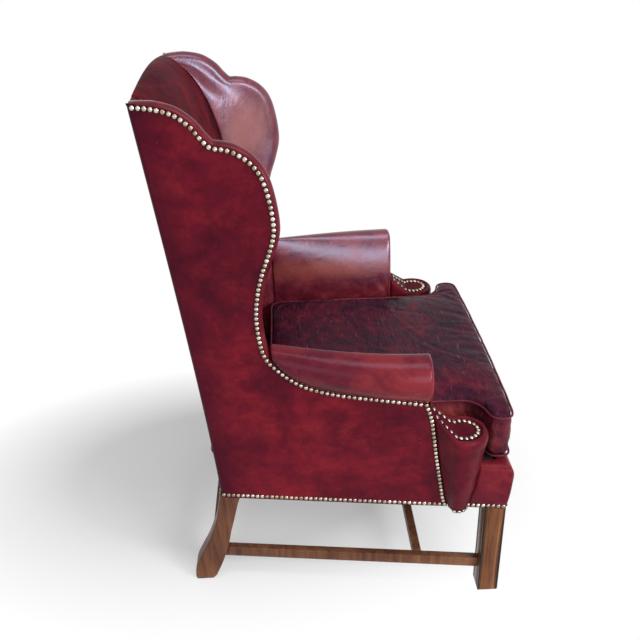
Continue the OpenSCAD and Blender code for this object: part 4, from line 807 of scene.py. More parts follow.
# The far (left) arm: a lighter, glossier copy of the arm leather, with a painted reflection along its inner
# face below the roll.
polished_arm_hide_painted_reflection = leather("left arm leather", (0.050, 0.0035, 0.009), (0.105, 0.0085, 0.016),
                        (0.20, 0.026, 0.024), 12.0, 0.95, 0.35, (1.2, 0.8, 1), 0.10, (0.22, 0.32),
                        (0.72, 0.74, 1.0),
                        reflection_patch=((0.28, -0.02, 0.562), (0.5, 0.22, 0.036), (0.24, 0.055, 0.040)))
arm_hide = leather("right arm leather", (0.050, 0.0034, 0.010), (0.090, 0.0060, 0.014),
                   (0.16, 0.015, 0.019), 12.0, 0.18, 0.40, (1.2, 0.8, 1), 0.12, (0.20, 0.30),
                   (0.95, 0.76, 1.0))
for side, word, hide in ((1, "left", polished_arm_hide_painted_reflection), (-1, "right", arm_hide)):
    arm = leather_piece("arm_cover_" + word + "_hide", grid, (0.32, 0, 0.56), hide, side)
    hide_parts("arm_cover_" + word, "arm_padding_" + word)


# Front end of each arm: a leather with a round head, padded a little, its edge sewn into the roll
# with a thin welt that shows as a fine pale line.
def tube(path, r, sides=8, closed=False):
    path = np.asarray(path, float)
    if closed:
        t = np.roll(path, -1, 0) - np.roll(path, 1, 0)
    else:
        t = np.gradient(path, axis=0)
    t /= np.linalg.norm(t, axis=1)[:, None]
    side_way = np.cross(t[0], (0.13, 0.21, 0.97))
    rings = []
    for p, along in zip(path, t):
        side_way = side_way - along * (side_way @ along)
        side_way /= np.linalg.norm(side_way)
        up_way = np.cross(along, side_way)
        rings.append([p + r * (math.cos(a) * side_way + math.sin(a) * up_way)
                      for a in np.linspace(0, 2 * math.pi, sides, endpoint=False)])
    points, quads = skin_rings(rings, closed_ends=not closed)
    if closed:
        last, count = len(rings) - 1, sides
        quads += [(last * count + k, last * count + (k + 1) % count, (k + 1) % count, k)
                  for k in range(count)]
    return points, quads


head = np.array(arm_section(arm_front, front_r))[:, [0, 2]]
low = [(side_x(arm_front, z) - 0.0035, z) for z in np.linspace(seat_z, head[0, 1], 20)]
edge = np.vstack([head, [(mix(head[-1, 0], low[0][0], t), seat_z) for t in (0.33, 0.66)], low[:-1]])
middle = edge.mean(0)
grid = []
for t in (0, 0.03, 0.08, 0.16, 0.3, 0.5, 0.75, 1.0):
    ring = mix(edge, middle, t)
    grid.append([(x, -0.1786 - 0.0018 * (1 - (1 - t) ** 3), z) for x, z in np.vstack([ring, ring[:1]])])
welt_hide = leather("welt leather", (0.10, 0.010, 0.020), (0.17, 0.022, 0.034), (0.26, 0.05, 0.055), 14.0,
                    0.5, 0.2, (1, 1, 1), 0.1, (0.22, 0.34))
welt_line = arm_section(-0.1757, 0.0045)
for side, word in both_sides:
    end = leather_piece("arm_end_" + word + "_hide", grid, (0.32, 0.1, 0.5), arm_hide, side)
    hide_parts("arm_end_" + word)
    mesh = outward(mesh_from("arm_welt_" + word, *tube(welt_line, 0.0012, 6), mirrored=side < 0))
    welt = link_piece("arm_welt_" + word, mesh, welt_hide)
    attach(welt, "chair")


# Scrolls: leather wrapped round a tapered block in front of each arm, from the rail up to a rolled
# rim. The hide ends in a flat return beside the arm's nail line.
scroll_r = 0.0535
scroll_low, scroll_head, scroll_tail, rim_h = rail_low, 0.463, 0.508, 0.003
scroll_mid, scroll_lean = np.array((0.3484, -0.2495)), np.array((-0.003, 0.001))
scroll_rows = smooth_path([(0, 0.33), (0.06, 0.42), (0.30, 0.64), (0.48, 0.74), (0.62, 0.81), (0.75, 0.88),
                           (0.86, 0.955), (0.92, 0.995), (0.935, 1.0)], 4)
rim_w = scroll_r * 0.265
lip_rows = [(0.950, 0.997, 0.02), (0.965, 0.986, 0.05), (0.980, 0.965, 0.12), (0.990, 0.938, 0.22),
            (0.998, 0.900, 0.38), (1.001, 0.860, 0.54), (0.999, 0.815, 0.72), (0.993, 0.775, 0.88),
            (0.984, 0.745, 0.97), (0.972, 0.735, 1.0), (0.955, 0.73, 1.0)]


def facing_level(y):
    share = np.clip((np.asarray(y, float) + 0.2341) / 0.0530, 0, 1)
    soft = np.where(share < 0.16, share ** 2 / 0.32, share - 0.08) / 0.92
    return mix(scroll_head, scroll_tail, soft)


def scroll_loop(share, width, tail_share=0.0, tail_in=0.0):
    r = scroll_r * width
    mid = scroll_mid + scroll_lean * (1 - share)
    closed = eased((mix(scroll_low, scroll_head + rim_h, share) - rail_top) / 0.027)
    tail_z = mix(scroll_low, scroll_tail + rim_h, share)
    angles = np.radians(np.linspace(25, mix(-90, -205, closed), 44))
    ring = mid + r * np.stack([np.cos(angles), np.sin(angles)], 1)
    outer_y = front_line_y(tail_z) - 0.0070
    outer = np.array([side_x(outer_y, tail_z) - tail_in - tail_share * rim_w, outer_y])
    inner = np.array([mid[0] - r * math.cos(math.radians(25)), arm_front - 0.0031])
    end = mix(ring[-1] + (-0.00125, 0.0025), inner, closed)
    tail = [mix(outer, ring[0], t) for t in np.linspace(0, 1, 9)[:-1]]
    back = [mix(ring[-1], end, t) for t in np.linspace(0, 1, 7)[1:]]
    return np.vstack([tail, ring, back])


grid = []
for share, width, tail_share in [(s, w, 0.0) for s, w in scroll_rows] + lip_rows:
    loop = scroll_loop(share, width, tail_share)
    grid.append([(x, y, mix(scroll_low, facing_level(y) + rim_h, share)) for x, y in loop])
scroll_hide = leather("scroll leather", (0.050, 0.0038, 0.010), (0.088, 0.006, 0.014),
                      (0.14, 0.013, 0.019), 21.0, 0.06, 0.35, (1, 1, 0.8), 0.06, (0.26, 0.38))
for side, word in both_sides:
    name = "scroll_cover_" + word
    scroll = leather_piece(name + "_hide", grid, (0.34, -0.235, 0.3), scroll_hide, side)
    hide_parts(name)


# Scroll facings: a drop-shaped leather over a thin pad, laid into the rim and held by its row of
# nails.
facing_low, facing_puff, facing_soft = 0.0022, 0.0034, 0.024
loop = scroll_loop(1.0, 0.74, 1.0)
count = len(loop)
grid = []
for i in range(count // 2):
    a, b = loop[i], loop[count - 1 - i]
    row = []
    for t in np.linspace(0, 1, 17):
        x, y = mix(a, b, t)
        near = min(np.hypot(*(loop - (x, y)).T))
        puff = facing_puff * math.sqrt(min(1.0, near / facing_soft))
        row.append((x, y, facing_level(y) - facing_low + puff))
    grid.append(row)
facing_hide = leather("facing leather", (0.038, 0.0030, 0.009), (0.064, 0.0048, 0.013),
                      (0.105, 0.010, 0.017), 25.0, 0.015, 0.2, (1, 1, 1), 0.08, (0.30, 0.45))
for side, word in both_sides:
    name = "scroll_facing_" + word
    facing = leather_piece(name + "_hide", grid, (0.353, -0.25, 0.3), facing_hide, side)
    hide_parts(name)


# Front border: one strip of leather over a thin pad and a roll along the top of the front rail,
# carried round both corners and tucked in beside the scrolls.
border_y, border_h = -0.358, 0.1163
border_profile = smooth_path([(s2 * 0.034 - s1 * 0.007, rail_low + s0 * border_h) for s0, s1, s2 in (
    (0, 0, 0), (0.25, 0.35, 0), (0.59, 0.75, 0), (0.80, 1, 0), (0.905, 1, 0.05), (0.965, 1, 0.18),
    (1, 1, 0.41), (1, 1, 0.70), (0.985, 1, 1))], 4)
scroll_table = np.array([(s, w) for s, w in scroll_rows] + [(1.0, 1.0)])


def scroll_at(z):
    share = (z - scroll_low) / (scroll_head + rim_h - scroll_low)
    return share, float(np.interp(share, scroll_table[:, 0], scroll_table[:, 1]))


def border_loop(depth, z, front=26):
    share, width = scroll_at(z)
    start = scroll_mid[1] + scroll_lean[1] * (1 - share) - scroll_r * width - 0.0004
    r = max(0.0012, 0.006 - max(0, depth))
    y = border_y + depth
    x = side_x(y + r, rail_low) - depth
    half = [(side_x(v, rail_low) - depth, v) for v in np.linspace(start, y + r, 10)[:-1]]
    half += [(x - r + r * math.cos(a), y + r + r * math.sin(a)) for a in np.linspace(0, -math.pi / 2, 7)]
    half += [((x - r) * (1 - t), y) for t in np.linspace(0, 1, front)[1:]]
    half = np.array(half)
    return np.vstack([half, half[-2::-1] * (-1, 1)])


grid = []
for depth, z in np.vstack([[border_profile[0] + (0.006, 0)], border_profile]):
    hem = 0.0010 * math.exp(-((z - 0.258) / 0.005) ** 2)
    puff = 0.0012 * math.exp(-((z - 0.30) / 0.035) ** 2)
    grid.append([(x, y, z) for x, y in border_loop(depth + hem - puff, z)])
grid[0] = [(x, y, 0.2515) for x, y, _ in grid[0]]
border_hide = leather("border leather", (0.056, 0.0038, 0.011), (0.098, 0.0064, 0.016),
                      (0.165, 0.015, 0.020), 31.0, 0.10, 0.45, (0.8, 1, 1), 0.10, (0.24, 0.36))
border = leather_piece("front_border_hide", grid, (0, 0, 0.32), border_hide)
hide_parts("front_border", "front_edge_roll")


# Upholstery nails: domed brass heads on steel shanks, set edge to edge by hand, so that each sits a
# little off its neighbours' tilt and size.
nail_pitch, sink = 0.011, 0.0004


def spaced(path, pitch=nail_pitch):
    path = np.asarray(path, float)
    return evenly(path, round(run_of(path)[-1] / pitch) + 1)


def side_way(y, z):
    d = 0.0005
    along_y = np.array([(side_x(y + d, z) - side_x(y - d, z)) / (2 * d), 1, 0])
    along_z = np.array([(side_x(y, z + d) - side_x(y, z - d)) / (2 * d), 0, 1])
    way = np.cross(along_y, along_z)
    return way / np.linalg.norm(way)


def on_side(places):
    ways = [side_way(y, z) for y, z in places]
    points = [np.array((side_x(y, z), y, z)) - sink * way for (y, z), way in zip(places, ways)]
    return points, ways


def tree_node(tree, kind, settings=None, **inputs):
    made = tree.nodes.new(kind)
    for key, value in (settings or {}).items():
        setattr(made, key, value)
    for key, value in inputs.items():
        socket = made.inputs[int(key[1:])] if key[1:].isdigit() else made.inputs[key.replace("_", " ")]
        if isinstance(value, bpy.types.NodeSocket):
            tree.links.new(value, socket)
        else:
            socket.default_value = value
    return made


def new_tree(name, **values):
    tree = bpy.data.node_groups.new(name, "GeometryNodeTree")
    tree.interface.new_socket("Geometry", in_out="INPUT", socket_type="NodeSocketGeometry")
    for socket, kind in values.items():
        tree.interface.new_socket(socket, in_out="INPUT", socket_type="NodeSocket" + kind)
    tree.interface.new_socket("Geometry", in_out="OUTPUT", socket_type="NodeSocketGeometry")
    return tree, tree.nodes.new("NodeGroupInput").outputs


def close_tree(tree, points, instance, material, smooth, **turned):
    on = tree_node(tree, "GeometryNodeInstanceOnPoints", Points=points, Instance=instance, **turned)
    made = tree_node(tree, "GeometryNodeRealizeInstances", Geometry=on.outputs[0])
    if smooth:
        made = tree_node(tree, "GeometryNodeSetShadeSmooth", Geometry=made.outputs[0])
    made = tree_node(tree, "GeometryNodeSetMaterial", Geometry=made.outputs[0], Material=material)
    tree.links.new(made.outputs[0], tree.nodes.new("NodeGroupOutput").inputs[0])


def evaluated_mesh(thing):
    graph = bpy.context.evaluated_depsgraph_get()
    return bpy.data.meshes.new_from_object(thing.evaluated_get(graph))


def grown(mesh, tree, **values):
    base = bpy.data.objects.new(mesh.name, mesh)
    scene.collection.objects.link(base)
    made = base.modifiers.new("repeats", "NODES")
    made.node_group = tree
    sockets = {item.name: item.identifier for item in tree.interface.items_tree if item.in_out == "INPUT"}
    for key, value in values.items():
        made[sockets[key]] = value
    result = evaluated_mesh(base)
    bpy.data.objects.remove(base)
    return result


tree, given = new_tree("nail heads", Radius="Float", Height="Float", Tilt="Float", Seed="Int")
ball = tree_node(tree, "GeometryNodeMeshUVSphere", Segments=11, Rings=6, Radius=1.0)
where = tree_node(tree, "GeometryNodeInputPosition")
spot = tree_node(tree, "ShaderNodeSeparateXYZ", Vector=where.outputs[0])
level = tree_node(tree, "ShaderNodeMath", {"operation": "MAXIMUM"}, i0=spot.outputs[2], i1=-0.12)
flat = tree_node(tree, "ShaderNodeCombineXYZ", X=spot.outputs[0], Y=spot.outputs[1], Z=level.outputs[0])
kept = tree_node(tree, "GeometryNodeStoreNamedAttribute", {"data_type": "FLOAT", "domain": "POINT"},
                 Geometry=ball.outputs["Mesh"], Name="height", Value=level.outputs[0])
dome = tree_node(tree, "GeometryNodeSetPosition", Geometry=kept.outputs[0], Position=flat.outputs[0])
size = tree_node(tree, "ShaderNodeCombineXYZ", X=given["Radius"], Y=given["Radius"], Z=given["Height"])
head = tree_node(tree, "GeometryNodeTransform", Geometry=dome.outputs[0], Scale=size.outputs[0])
way = tree_node(tree, "GeometryNodeInputNamedAttribute", {"data_type": "FLOAT_VECTOR"}, Name="way")
lean = tree_node(tree, "FunctionNodeRandomValue", {"data_type": "FLOAT_VECTOR"}, Seed=given["Seed"])
lean.inputs[0].default_value = (-1, -1, -1)
lean.inputs[1].default_value = (1, 1, 1)
off = tree_node(tree, "ShaderNodeVectorMath", {"operation": "SCALE"}, Vector=lean.outputs[0],
                Scale=given["Tilt"])
aim = tree_node(tree, "ShaderNodeVectorMath", {"operation": "ADD"}, i0=way.outputs[0], i1=off.outputs[0])
turn = tree_node(tree, "FunctionNodeAlignRotationToVector", {"axis": "Z"}, Vector=aim.outputs[0])
scale = tree_node(tree, "FunctionNodeRandomValue", {"data_type": "FLOAT"}, Seed=given["Seed"])
scale.inputs[2].default_value = 0.965
scale.inputs[3].default_value = 1.025
brass, shader = new_material("nail brass", Metallic=1.0, Specular_IOR_Level=0.5)
age = noise(brass, 60, 3, 0.6)
tone = ramp(brass, age, [(0.35, (0.24, 0.19, 0.13)), (0.50, (0.42, 0.37, 0.29)), (0.62, (0.60, 0.56, 0.48))])
# Painted shade: the foot of each head, where it meets the leather, is darkened to a near black ring.
painted_shade_at_rim = add_node(brass, "Attribute", {"attribute_name": "height"}).outputs["Fac"]
tone = blend_colour(brass, between(brass, painted_shade_at_rim, 0.15, 0.72), (0.045, 0.022, 0.016, 1), tone)
put(brass, shader["Base Color"], tone)
put(brass, shader["Roughness"], between(brass, noise(brass, 160, 2), 0.35, 0.65, 0.16, 0.34))
put(brass, shader["Normal"], bump(brass, noise(brass, 700, 2), 0.12, 0.0004))
close_tree(tree, given["Geometry"], head.outputs[0], brass, True, Rotation=turn.outputs[0],
           Scale=scale.outputs[1])


def nail_row(name, places, ways, seed, replaced):
    mesh = bpy.data.meshes.new(name + "_places")
    mesh.from_pydata([tuple(p) for p in places], [], [])
    ways = np.array(ways)
    ways /= np.linalg.norm(ways, axis=1)[:, None]
    stored = mesh.attributes.new("way", "FLOAT_VECTOR", "POINT")
    stored.data.foreach_set("vector", ways.ravel())
    result = grown(mesh, tree, Radius=0.0053, Height=0.0041, Tilt=0.06, Seed=seed)
    result.name = name
    row = link_piece(name, result, brass)
    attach(row, "chair")
    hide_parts(replaced)


def both(places, ways):
    return tuple(np.vstack([rows, np.array(rows) * (-1, 1, 1)]) for rows in (places, ways))


nail_row("wing_nail_heads", *both(*on_side(spaced(nail_line)[1:])), 1, "wing_nails")

points, ways = on_side(spaced(front_line)[1:-1])
facing_path = spaced(scroll_loop(1.0, 0.0315 / scroll_r, 1.0, 0.0078))[1:-1]
for x, y in facing_path:
    slope = (facing_level(y + 0.004) - facing_level(y - 0.004)) / 0.008
    points.append((x, y, facing_level(y) - 0.0002))
    ways.append(np.array((0, -slope, 1.0)))
nail_row("scroll_nail_heads", *both(points, ways), 2, "scroll_nails")

nail_z = 0.258
rear_y = back_y(nail_z)
points, ways = on_side(spaced([(rear_y - 0.0075, nail_z), (front_line[-1, 0], nail_z)]))
tip_share, tip_width = scroll_at(nail_z)
tip = scroll_loop(tip_share, tip_width)[8:]
tip_mid = scroll_mid + scroll_lean * (1 - tip_share)
for x, y in spaced(tip[:-5])[:-1]:
    out = np.array([x, y]) - tip_mid
    points.append((x, y, nail_z))
    ways.append(np.array([out[0], out[1], -0.3 * np.linalg.norm(out)]))
points, ways = both(points, ways)
depth = float(np.interp(nail_z, border_profile[:12, 1], border_profile[:12, 0])) + 0.0009
fine = spaced(border_loop(depth, nail_z, 60), nail_pitch / 10)
for k in range(10, len(fine) - 1, 10):
    t = (fine[k + 1] - fine[k - 1]) / np.linalg.norm(fine[k + 1] - fine[k - 1])
    points = np.vstack([points, [(fine[k, 0], fine[k, 1], nail_z)]])
    ways = np.vstack([ways, [(-t[1], t[0], 0)]])
rear_half = half_width(nail_z) - 0.0078
lean_z = (back_y(nail_z) - back_y(nail_z + 0.001)) / 0.001
for x, _ in spaced([(-rear_half, 0), (rear_half, 0)]):
    points = np.vstack([points, [(x, rear_y - sink, nail_z)]])
    ways = np.vstack([ways, [(0, 1, lean_z)]])
nail_row("border_nail_heads", points, ways, 3, "border_nails")


# Seat cushion: a T-shaped loose cushion in leather, foam wrapped in down, with a drawn-in boxing and
# a hollow round each scroll. It is blown up by a cloth simulation and then creased by use.
def turn_points(centre, r, start, end, count):
    return [(centre[0] + r * math.cos(a), centre[1] + r * math.sin(a))
            for a in np.radians(np.linspace(start, end, count))]


low_seam, high_seam, crown, most_moved, blow_steps = 0.3765, 0.475, 0.021, 0.024, 20
half = [(0.0, -0.371), (0.06, -0.37085), (0.1113, -0.3704), (0.17, -0.3696), (0.2227, -0.3688),
        (0.27, -0.3672)]
half += turn_points((0.3125, -0.3445), 0.0215, -80, 0, 12)
half += turn_points((0.3120, -0.3300), 0.0220, 6, 90, 12)
half += turn_points((0.3120, -0.2560), 0.0520, 268, 182, 16)
half += [(0.2595, y) for y in np.linspace(-0.23, 0.12, 22)]
half += turn_points((0.235, 0.1283), 0.025, 4, 90, 8)
half += [(x, 0.1533) for x in np.linspace(0.21, 0.0, 12)]
half = np.array(half)
around = np.vstack([half, half[-2:0:-1] * (-1, 1)])
around = evenly(np.vstack([around, around[:1]]), 301)[:-1]
for _ in range(3):
    around = 0.5 * around + 0.25 * (np.roll(around, 1, 0) + np.roll(around, -1, 0))


def moved_out(loop, out):
    t = np.roll(loop, -1, 0) - np.roll(loop, 1, 0)
    return loop + out * np.stack([t[:, 1], -t[:, 0]], 1) / np.linalg.norm(t, axis=1)[:, None]


def toward_flat(loop, share):
    flat = np.stack([loop[:, 0] * 0.5, np.clip(loop[:, 1], -0.327, 0.0642)], 1)
    return mix(loop, flat, share)


seam_loop = moved_out(around, -0.0048)
rings = [np.c_[toward_flat(seam_loop, s), np.full(len(seam_loop), low_seam - 0.0080 * h)]
         for s, h in ((0.85, 1), (0.5, 0.97), (0.25, 0.85), (0.12, 0.6), (0.03, 0.3))]
rings.append(np.c_[seam_loop, np.full(len(seam_loop), low_seam)])
for t in (0.15, 0.32, 0.5, 0.68, 0.85):
    rings.append(np.c_[moved_out(around, -0.0048 - 0.004 * math.sin(math.pi * t)),
                       np.full(len(seam_loop), mix(low_seam, high_seam, t))])
rings.append(np.c_[seam_loop, np.full(len(seam_loop), high_seam)])
rings += [np.c_[toward_flat(seam_loop, s), np.full(len(seam_loop), high_seam + crown * 0.62 * h)]
          for s, h in ((0.03, 0.24), (0.08, 0.46), (0.16, 0.66), (0.32, 0.84), (0.6, 0.96), (0.85, 1))]
points, faces = skin_rings(rings)
mesh = outward(mesh_from("seat_cushion_cover", points, faces))
form = bpy.data.objects.new("cushion_form", mesh)
scene.collection.objects.link(form)
remesh = form.modifiers.new("even", "REMESH")
remesh.mode = "VOXEL"
remesh.voxel_size = 0.0068
mesh = evaluated_mesh(form)
bpy.data.objects.remove(form)
mesh.name = "seat_cushion_cover"


def positions(mesh):
    flat = np.empty(len(mesh.vertices) * 3)
    mesh.vertices.foreach_get("co", flat)
    return flat.reshape(-1, 3)


def set_positions(mesh, points):
    mesh.vertices.foreach_set("co", np.ascontiguousarray(points, float).ravel())
    mesh.update()


def near_loop(points, loop, block=4000):
    found = np.empty(len(points), int)
    dist = np.empty(len(points))
    for s in range(0, len(points), block):
        d = np.linalg.norm(points[s:s + block, None, :2] - loop[None], axis=2)
        found[s:s + block] = d.argmin(1)
        dist[s:s + block] = d.min(1)
    return found, dist


hide, shader = new_material("cushion leather", Specular_IOR_Level=0.08, Specular_Tint=(1.0, 0.70, 0.85, 1))
spot = place(hide)
clouds = noise(hide, 6, 4, 0.65, 0.5, spot)
mottle = noise(hide, 34, 5, 0.7, 0.3, spot)
tone = weighed(hide, clouds, 0.55, mottle, 0.45)
colour = ramp(hide, tone, [(0.40, (0.014, 0.0030, 0.011)), (0.50, (0.042, 0.0052, 0.016)),
                           (0.62, (0.115, 0.0120, 0.022))])
scratch = noise(hide, 1.0, 2, 0.5, 0.3, place(hide, (26, 420, 60), (0, 0, math.radians(52))))
colour = blend_colour(hide, between(hide, scratch, 0.66, 0.74, 0.0, 0.45), colour, (0.28, 0.12, 0.12, 1))
# Wear and painted highlight: the boxing is lightened all round in random patches, partly as wear and partly
# standing in for the light it catches.
edge_tone = add_node(hide, "Attribute", {"attribute_name": "wear_and_painted_highlight"}).outputs["Fac"]
rubs_and_highlight = between(hide, noise(hide, 11, 3, 0.6, 0.3), 0.36, 0.62, 0.15, 0.9)
lighter_share = calc(hide, "MULTIPLY", edge_tone, rubs_and_highlight)
colour = blend_colour(hide, lighter_share, colour, (0.24, 0.036, 0.034, 1))
put(hide, shader["Base Color"], colour)
put(hide, shader["Roughness"], between(hide, mottle, 0.35, 0.65, 0.34, 0.50))
grain = add_node(hide, "TexVoronoi", Vector=spot, Scale=640.0).outputs["Distance"]
normal = bump(hide, grain, 0.22, 0.0003)
fine_folds = noise(hide, 1.0, 4, 0.6, 0.8, place(hide, (20, 70, 30), (0, 0, math.radians(52))))
normal = bump(hide, fine_folds, 0.6, 0.006, normal)
gathers = noise(hide, 1.0, 3, 0.5, 0.4, place(hide, (95, 95, 13)))
drawn = add_node(hide, "Attribute", {"attribute_name": "drawn"}).outputs["Fac"]
put(hide, shader["Normal"], bump(hide, calc(hide, "MULTIPLY", gathers, drawn), 0.9, 0.012, normal))
cushion = link_piece("seat_cushion_cover", mesh, hide)
start = positions(mesh)
inward = near_loop(start, seam_loop)[1]
to_seam = np.minimum(np.hypot(inward, start[:, 2] - low_seam), np.hypot(inward, start[:, 2] - high_seam))
pins = cushion.vertex_groups.new(name="seams")
for level in range(1, 11):
    chosen = np.where(np.round(np.clip((0.014 - to_seam) / 0.007, 0, 1) * 10) == level)[0]
    if len(chosen):
        pins.add([int(i) for i in chosen], level / 10, "REPLACE")
flat_low = np.where((start[:, 2] < low_seam - 0.004) & (to_seam > 0.014))[0]
pins.add([int(i) for i in flat_low], 0.85, "REPLACE")
cloth = cushion.modifiers.new("cloth", "CLOTH")
fabric = dict(quality=6, mass=0.35, tension_stiffness=18, compression_stiffness=12, shear_stiffness=8,
              bending_stiffness=0.6, use_pressure=True, uniform_pressure_force=4.0, shrink_min=-0.025,
              vertex_group_mass="seams")
for key, value in fabric.items():
    setattr(cloth.settings, key, value)
cloth.settings.effector_weights.gravity = 0
cloth.collision_settings.use_collision = False
cloth.point_cache.frame_start = 1
cloth.point_cache.frame_end = blow_steps
for step in range(1, blow_steps + 1):
    scene.frame_set(step)
blown = evaluated_mesh(cushion)
moved = positions(blown) - start
bpy.data.meshes.remove(blown)
cushion.modifiers.clear()
scene.frame_set(1)
far = np.linalg.norm(moved, axis=1)
moved *= (np.minimum(far, most_moved) / np.maximum(far, 1e-9))[:, None]
set_positions(mesh, start + moved)
cushion.vertex_groups.clear()

shape = positions(mesh)
ear_swell, boxing_z = 0.0065, 0.4258
rise = shape[:, 2] - high_seam
shape[:, 2] = np.where(rise > 0, high_seam + crown * 1.08 * np.tanh(rise / (crown * 1.02)), shape[:, 2])
shape[:, 2] = np.maximum(shape[:, 2], seat_z + 0.0006)
nearest = near_loop(shape, around)[0]
t = np.roll(around, -1, 0) - np.roll(around, 1, 0)
outs = (np.stack([t[:, 1], -t[:, 0]], 1) / np.linalg.norm(t, axis=1)[:, None])[nearest]
ear = np.exp(-(np.hypot(np.abs(shape[:, 0]) - 0.30, shape[:, 1] + 0.31) / 0.085) ** 2)
below = np.clip((high_seam - 0.006 - shape[:, 2]) / 0.016, 0, 1)
below *= np.clip((shape[:, 2] - low_seam - 0.002) / 0.016, 0, 1)
shape[:, :2] += outs * (ear_swell * ear * below)[:, None]
over = ((shape[:, :2] - around[nearest]) * outs).sum(1)
limit = np.where(shape[:, 1] > ear_rear, 0.0026, ear_swell)
shape[:, :2] -= outs * np.maximum(0, over - limit)[:, None]
rng = np.random.default_rng(7)
top_side = np.clip((shape[:, 2] - high_seam + 0.002) / 0.008, 0, 1)
crease = np.zeros(len(shape))
for _ in range(34):
    cx, cy = rng.uniform(-0.24, 0.24), rng.uniform(-0.32, 0.12)
    angle = math.radians(rng.normal(52, 16))
    length, width = rng.uniform(0.03, 0.13), rng.uniform(0.0035, 0.0075)
    dx, dy = shape[:, 0] - cx, shape[:, 1] - cy
    along = dx * math.cos(angle) + dy * math.sin(angle)
    off = -dx * math.sin(angle) + dy * math.cos(angle) + rng.uniform(-3, 3) * along ** 2
    depth = rng.uniform(0.0005, 0.0017)
    profile = np.exp(-(off / width) ** 2) - 0.55 * np.exp(-((off - 2 * width) / (1.4 * width)) ** 2)
    crease += depth * profile * np.exp(-(along / length) ** 4)
shape[:, 2] -= crease * top_side
boxing = np.clip(1 - np.abs(shape[:, 2] - boxing_z) / 0.046, 0, 1) ** 0.5
run = run_of(np.vstack([around, around[:1]]))[nearest]
gather = np.sin(run * 520 + 2.0 * np.sin(run * 90)) * np.exp(-np.maximum(0, high_seam - shape[:, 2]) / 0.045)
pull = 0.0012 * gather * (0.25 + 2.4 * ear) + 0.0011 * np.sin(run * 75 + shape[:, 2] * 45) * (0.5 + ear)
sides = np.clip((high_seam + 0.002 - shape[:, 2]) / 0.006, 0, 1) * boxing
shape[:, :2] += outs * (pull * sides)[:, None]
set_positions(mesh, shape)
smooth = cushion.modifiers.new("smooth", "SUBSURF")
smooth.levels = 1
smooth.render_levels = 1
seams_near = np.exp(-np.maximum(0, high_seam - shape[:, 2]) / 0.030)
seams_near += 0.7 * np.exp(-np.abs(shape[:, 2] - low_seam) / 0.02)
drawn = sides * np.minimum(1, seams_near) * (0.35 + 0.65 * ear)
# The boxing band, lightened in the cushion leather partly for wear and partly as painted highlight.
for name, values in (("wear_and_painted_highlight", sides), ("drawn", drawn)):
    mesh.attributes.new(name, "FLOAT", "POINT").data.foreach_set("value", values.astype(float))
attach(cushion, "seat_cushion")
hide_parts("cushion_cover", "cushion_core")


# Piping: a cord rolled in leather and sewn into both seams of the boxing, joined at the rear.
pipe_hide = leather("piping leather", (0.050, 0.006, 0.012), (0.095, 0.014, 0.022), (0.17, 0.035, 0.042),
                    41.0, 0.12, 0.2, (1, 1, 1), 0.05, (0.30, 0.45))
points, faces = [], []
for z, phase in ((low_seam, 0.0), (high_seam, 1.7)):
    loop = moved_out(around, -0.0026)
    along = run_of(np.vstack([loop, loop[:1]]))[:-1]
    wave = 0.0006 * np.sin(along * 38 + phase) + 0.0004 * np.sin(along * 91 + phase)
    rim_points, rim_faces = tube(np.c_[loop, z + wave], 0.0026, 10, closed=True)
    faces += [tuple(v + len(points) for v in f) for f in rim_faces]
    points += list(rim_points)
mesh = outward(mesh_from("seat_cushion_piping", points, faces))
piping = link_piece("seat_cushion_piping", mesh, pipe_hide)
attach(piping, "seat_cushion")
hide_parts("cushion_piping")


# Zip: woven tapes and metal teeth let into the rear boxing, closed by a slider with a pull.
zip_z, zip_half, zip_face = 0.42575, 0.178, 0.1533 - 0.0085
tape_cloth = woven("zip tape", (0.020, 0.006, 0.008), (0.045, 0.014, 0.018), 0.0009)
lap = rounded_box(-zip_half, zip_half, -0.0068, 0.0068, 0.002)
rings = [[(x * s, zip_face + y, zip_z + z * s) for x, z in lap]
         for y, s in ((-0.0015, 1), (0.0, 1), (0.0005, 0.985))]
mesh = outward(mesh_from("cushion_zip_tape", *skin_rings(rings)))
tape = link_piece("cushion_zip_tape", mesh, tape_cloth)
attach(tape, "seat_cushion")
zip_steel, shader = new_material("zip metal", Metallic=1.0)
tone = ramp(zip_steel, noise(zip_steel, 90), [(0.4, (0.38, 0.33, 0.25)), (0.6, (0.62, 0.55, 0.43))])
put(zip_steel, shader["Base Color"], tone)
put(zip_steel, shader["Roughness"], between(zip_steel, noise(zip_steel, 300), 0.3, 0.7, 0.22, 0.4))
teeth, given = new_tree("zip teeth", Pitch="Float", Length="Float")
count = tree_node(teeth, "ShaderNodeMath", {"operation": "DIVIDE"}, i0=given["Length"], i1=given["Pitch"])
step = tree_node(teeth, "ShaderNodeCombineXYZ", X=given["Pitch"], Y=0.0, Z=0.0)
row = tree_node(teeth, "GeometryNodeMeshLine", Count=count.outputs[0], Offset=step.outputs[0])
row.inputs["Start Location"].default_value = (-0.172, zip_face + 0.0010, zip_z)
tooth = tree_node(teeth, "GeometryNodeMeshCube", Size=(0.0014, 0.0018, 0.0042))
index = tree_node(teeth, "GeometryNodeInputIndex")
odd = tree_node(teeth, "ShaderNodeMath", {"operation": "MODULO"}, i0=index.outputs[0], i1=2.0)
up = tree_node(teeth, "ShaderNodeMath", {"operation": "MULTIPLY_ADD"}, i0=odd.outputs[0], i1=0.0022,
               i2=-0.0011)
shift = tree_node(teeth, "ShaderNodeCombineXYZ", X=0.0, Y=0.0, Z=up.outputs[0])
placed = tree_node(teeth, "GeometryNodeSetPosition", Geometry=row.outputs[0], Offset=shift.outputs[0])
close_tree(teeth, placed.outputs[0], tooth.outputs[0], zip_steel, False)
result = grown(bpy.data.meshes.new("zip_row"), teeth, Pitch=0.0021, Length=0.344)
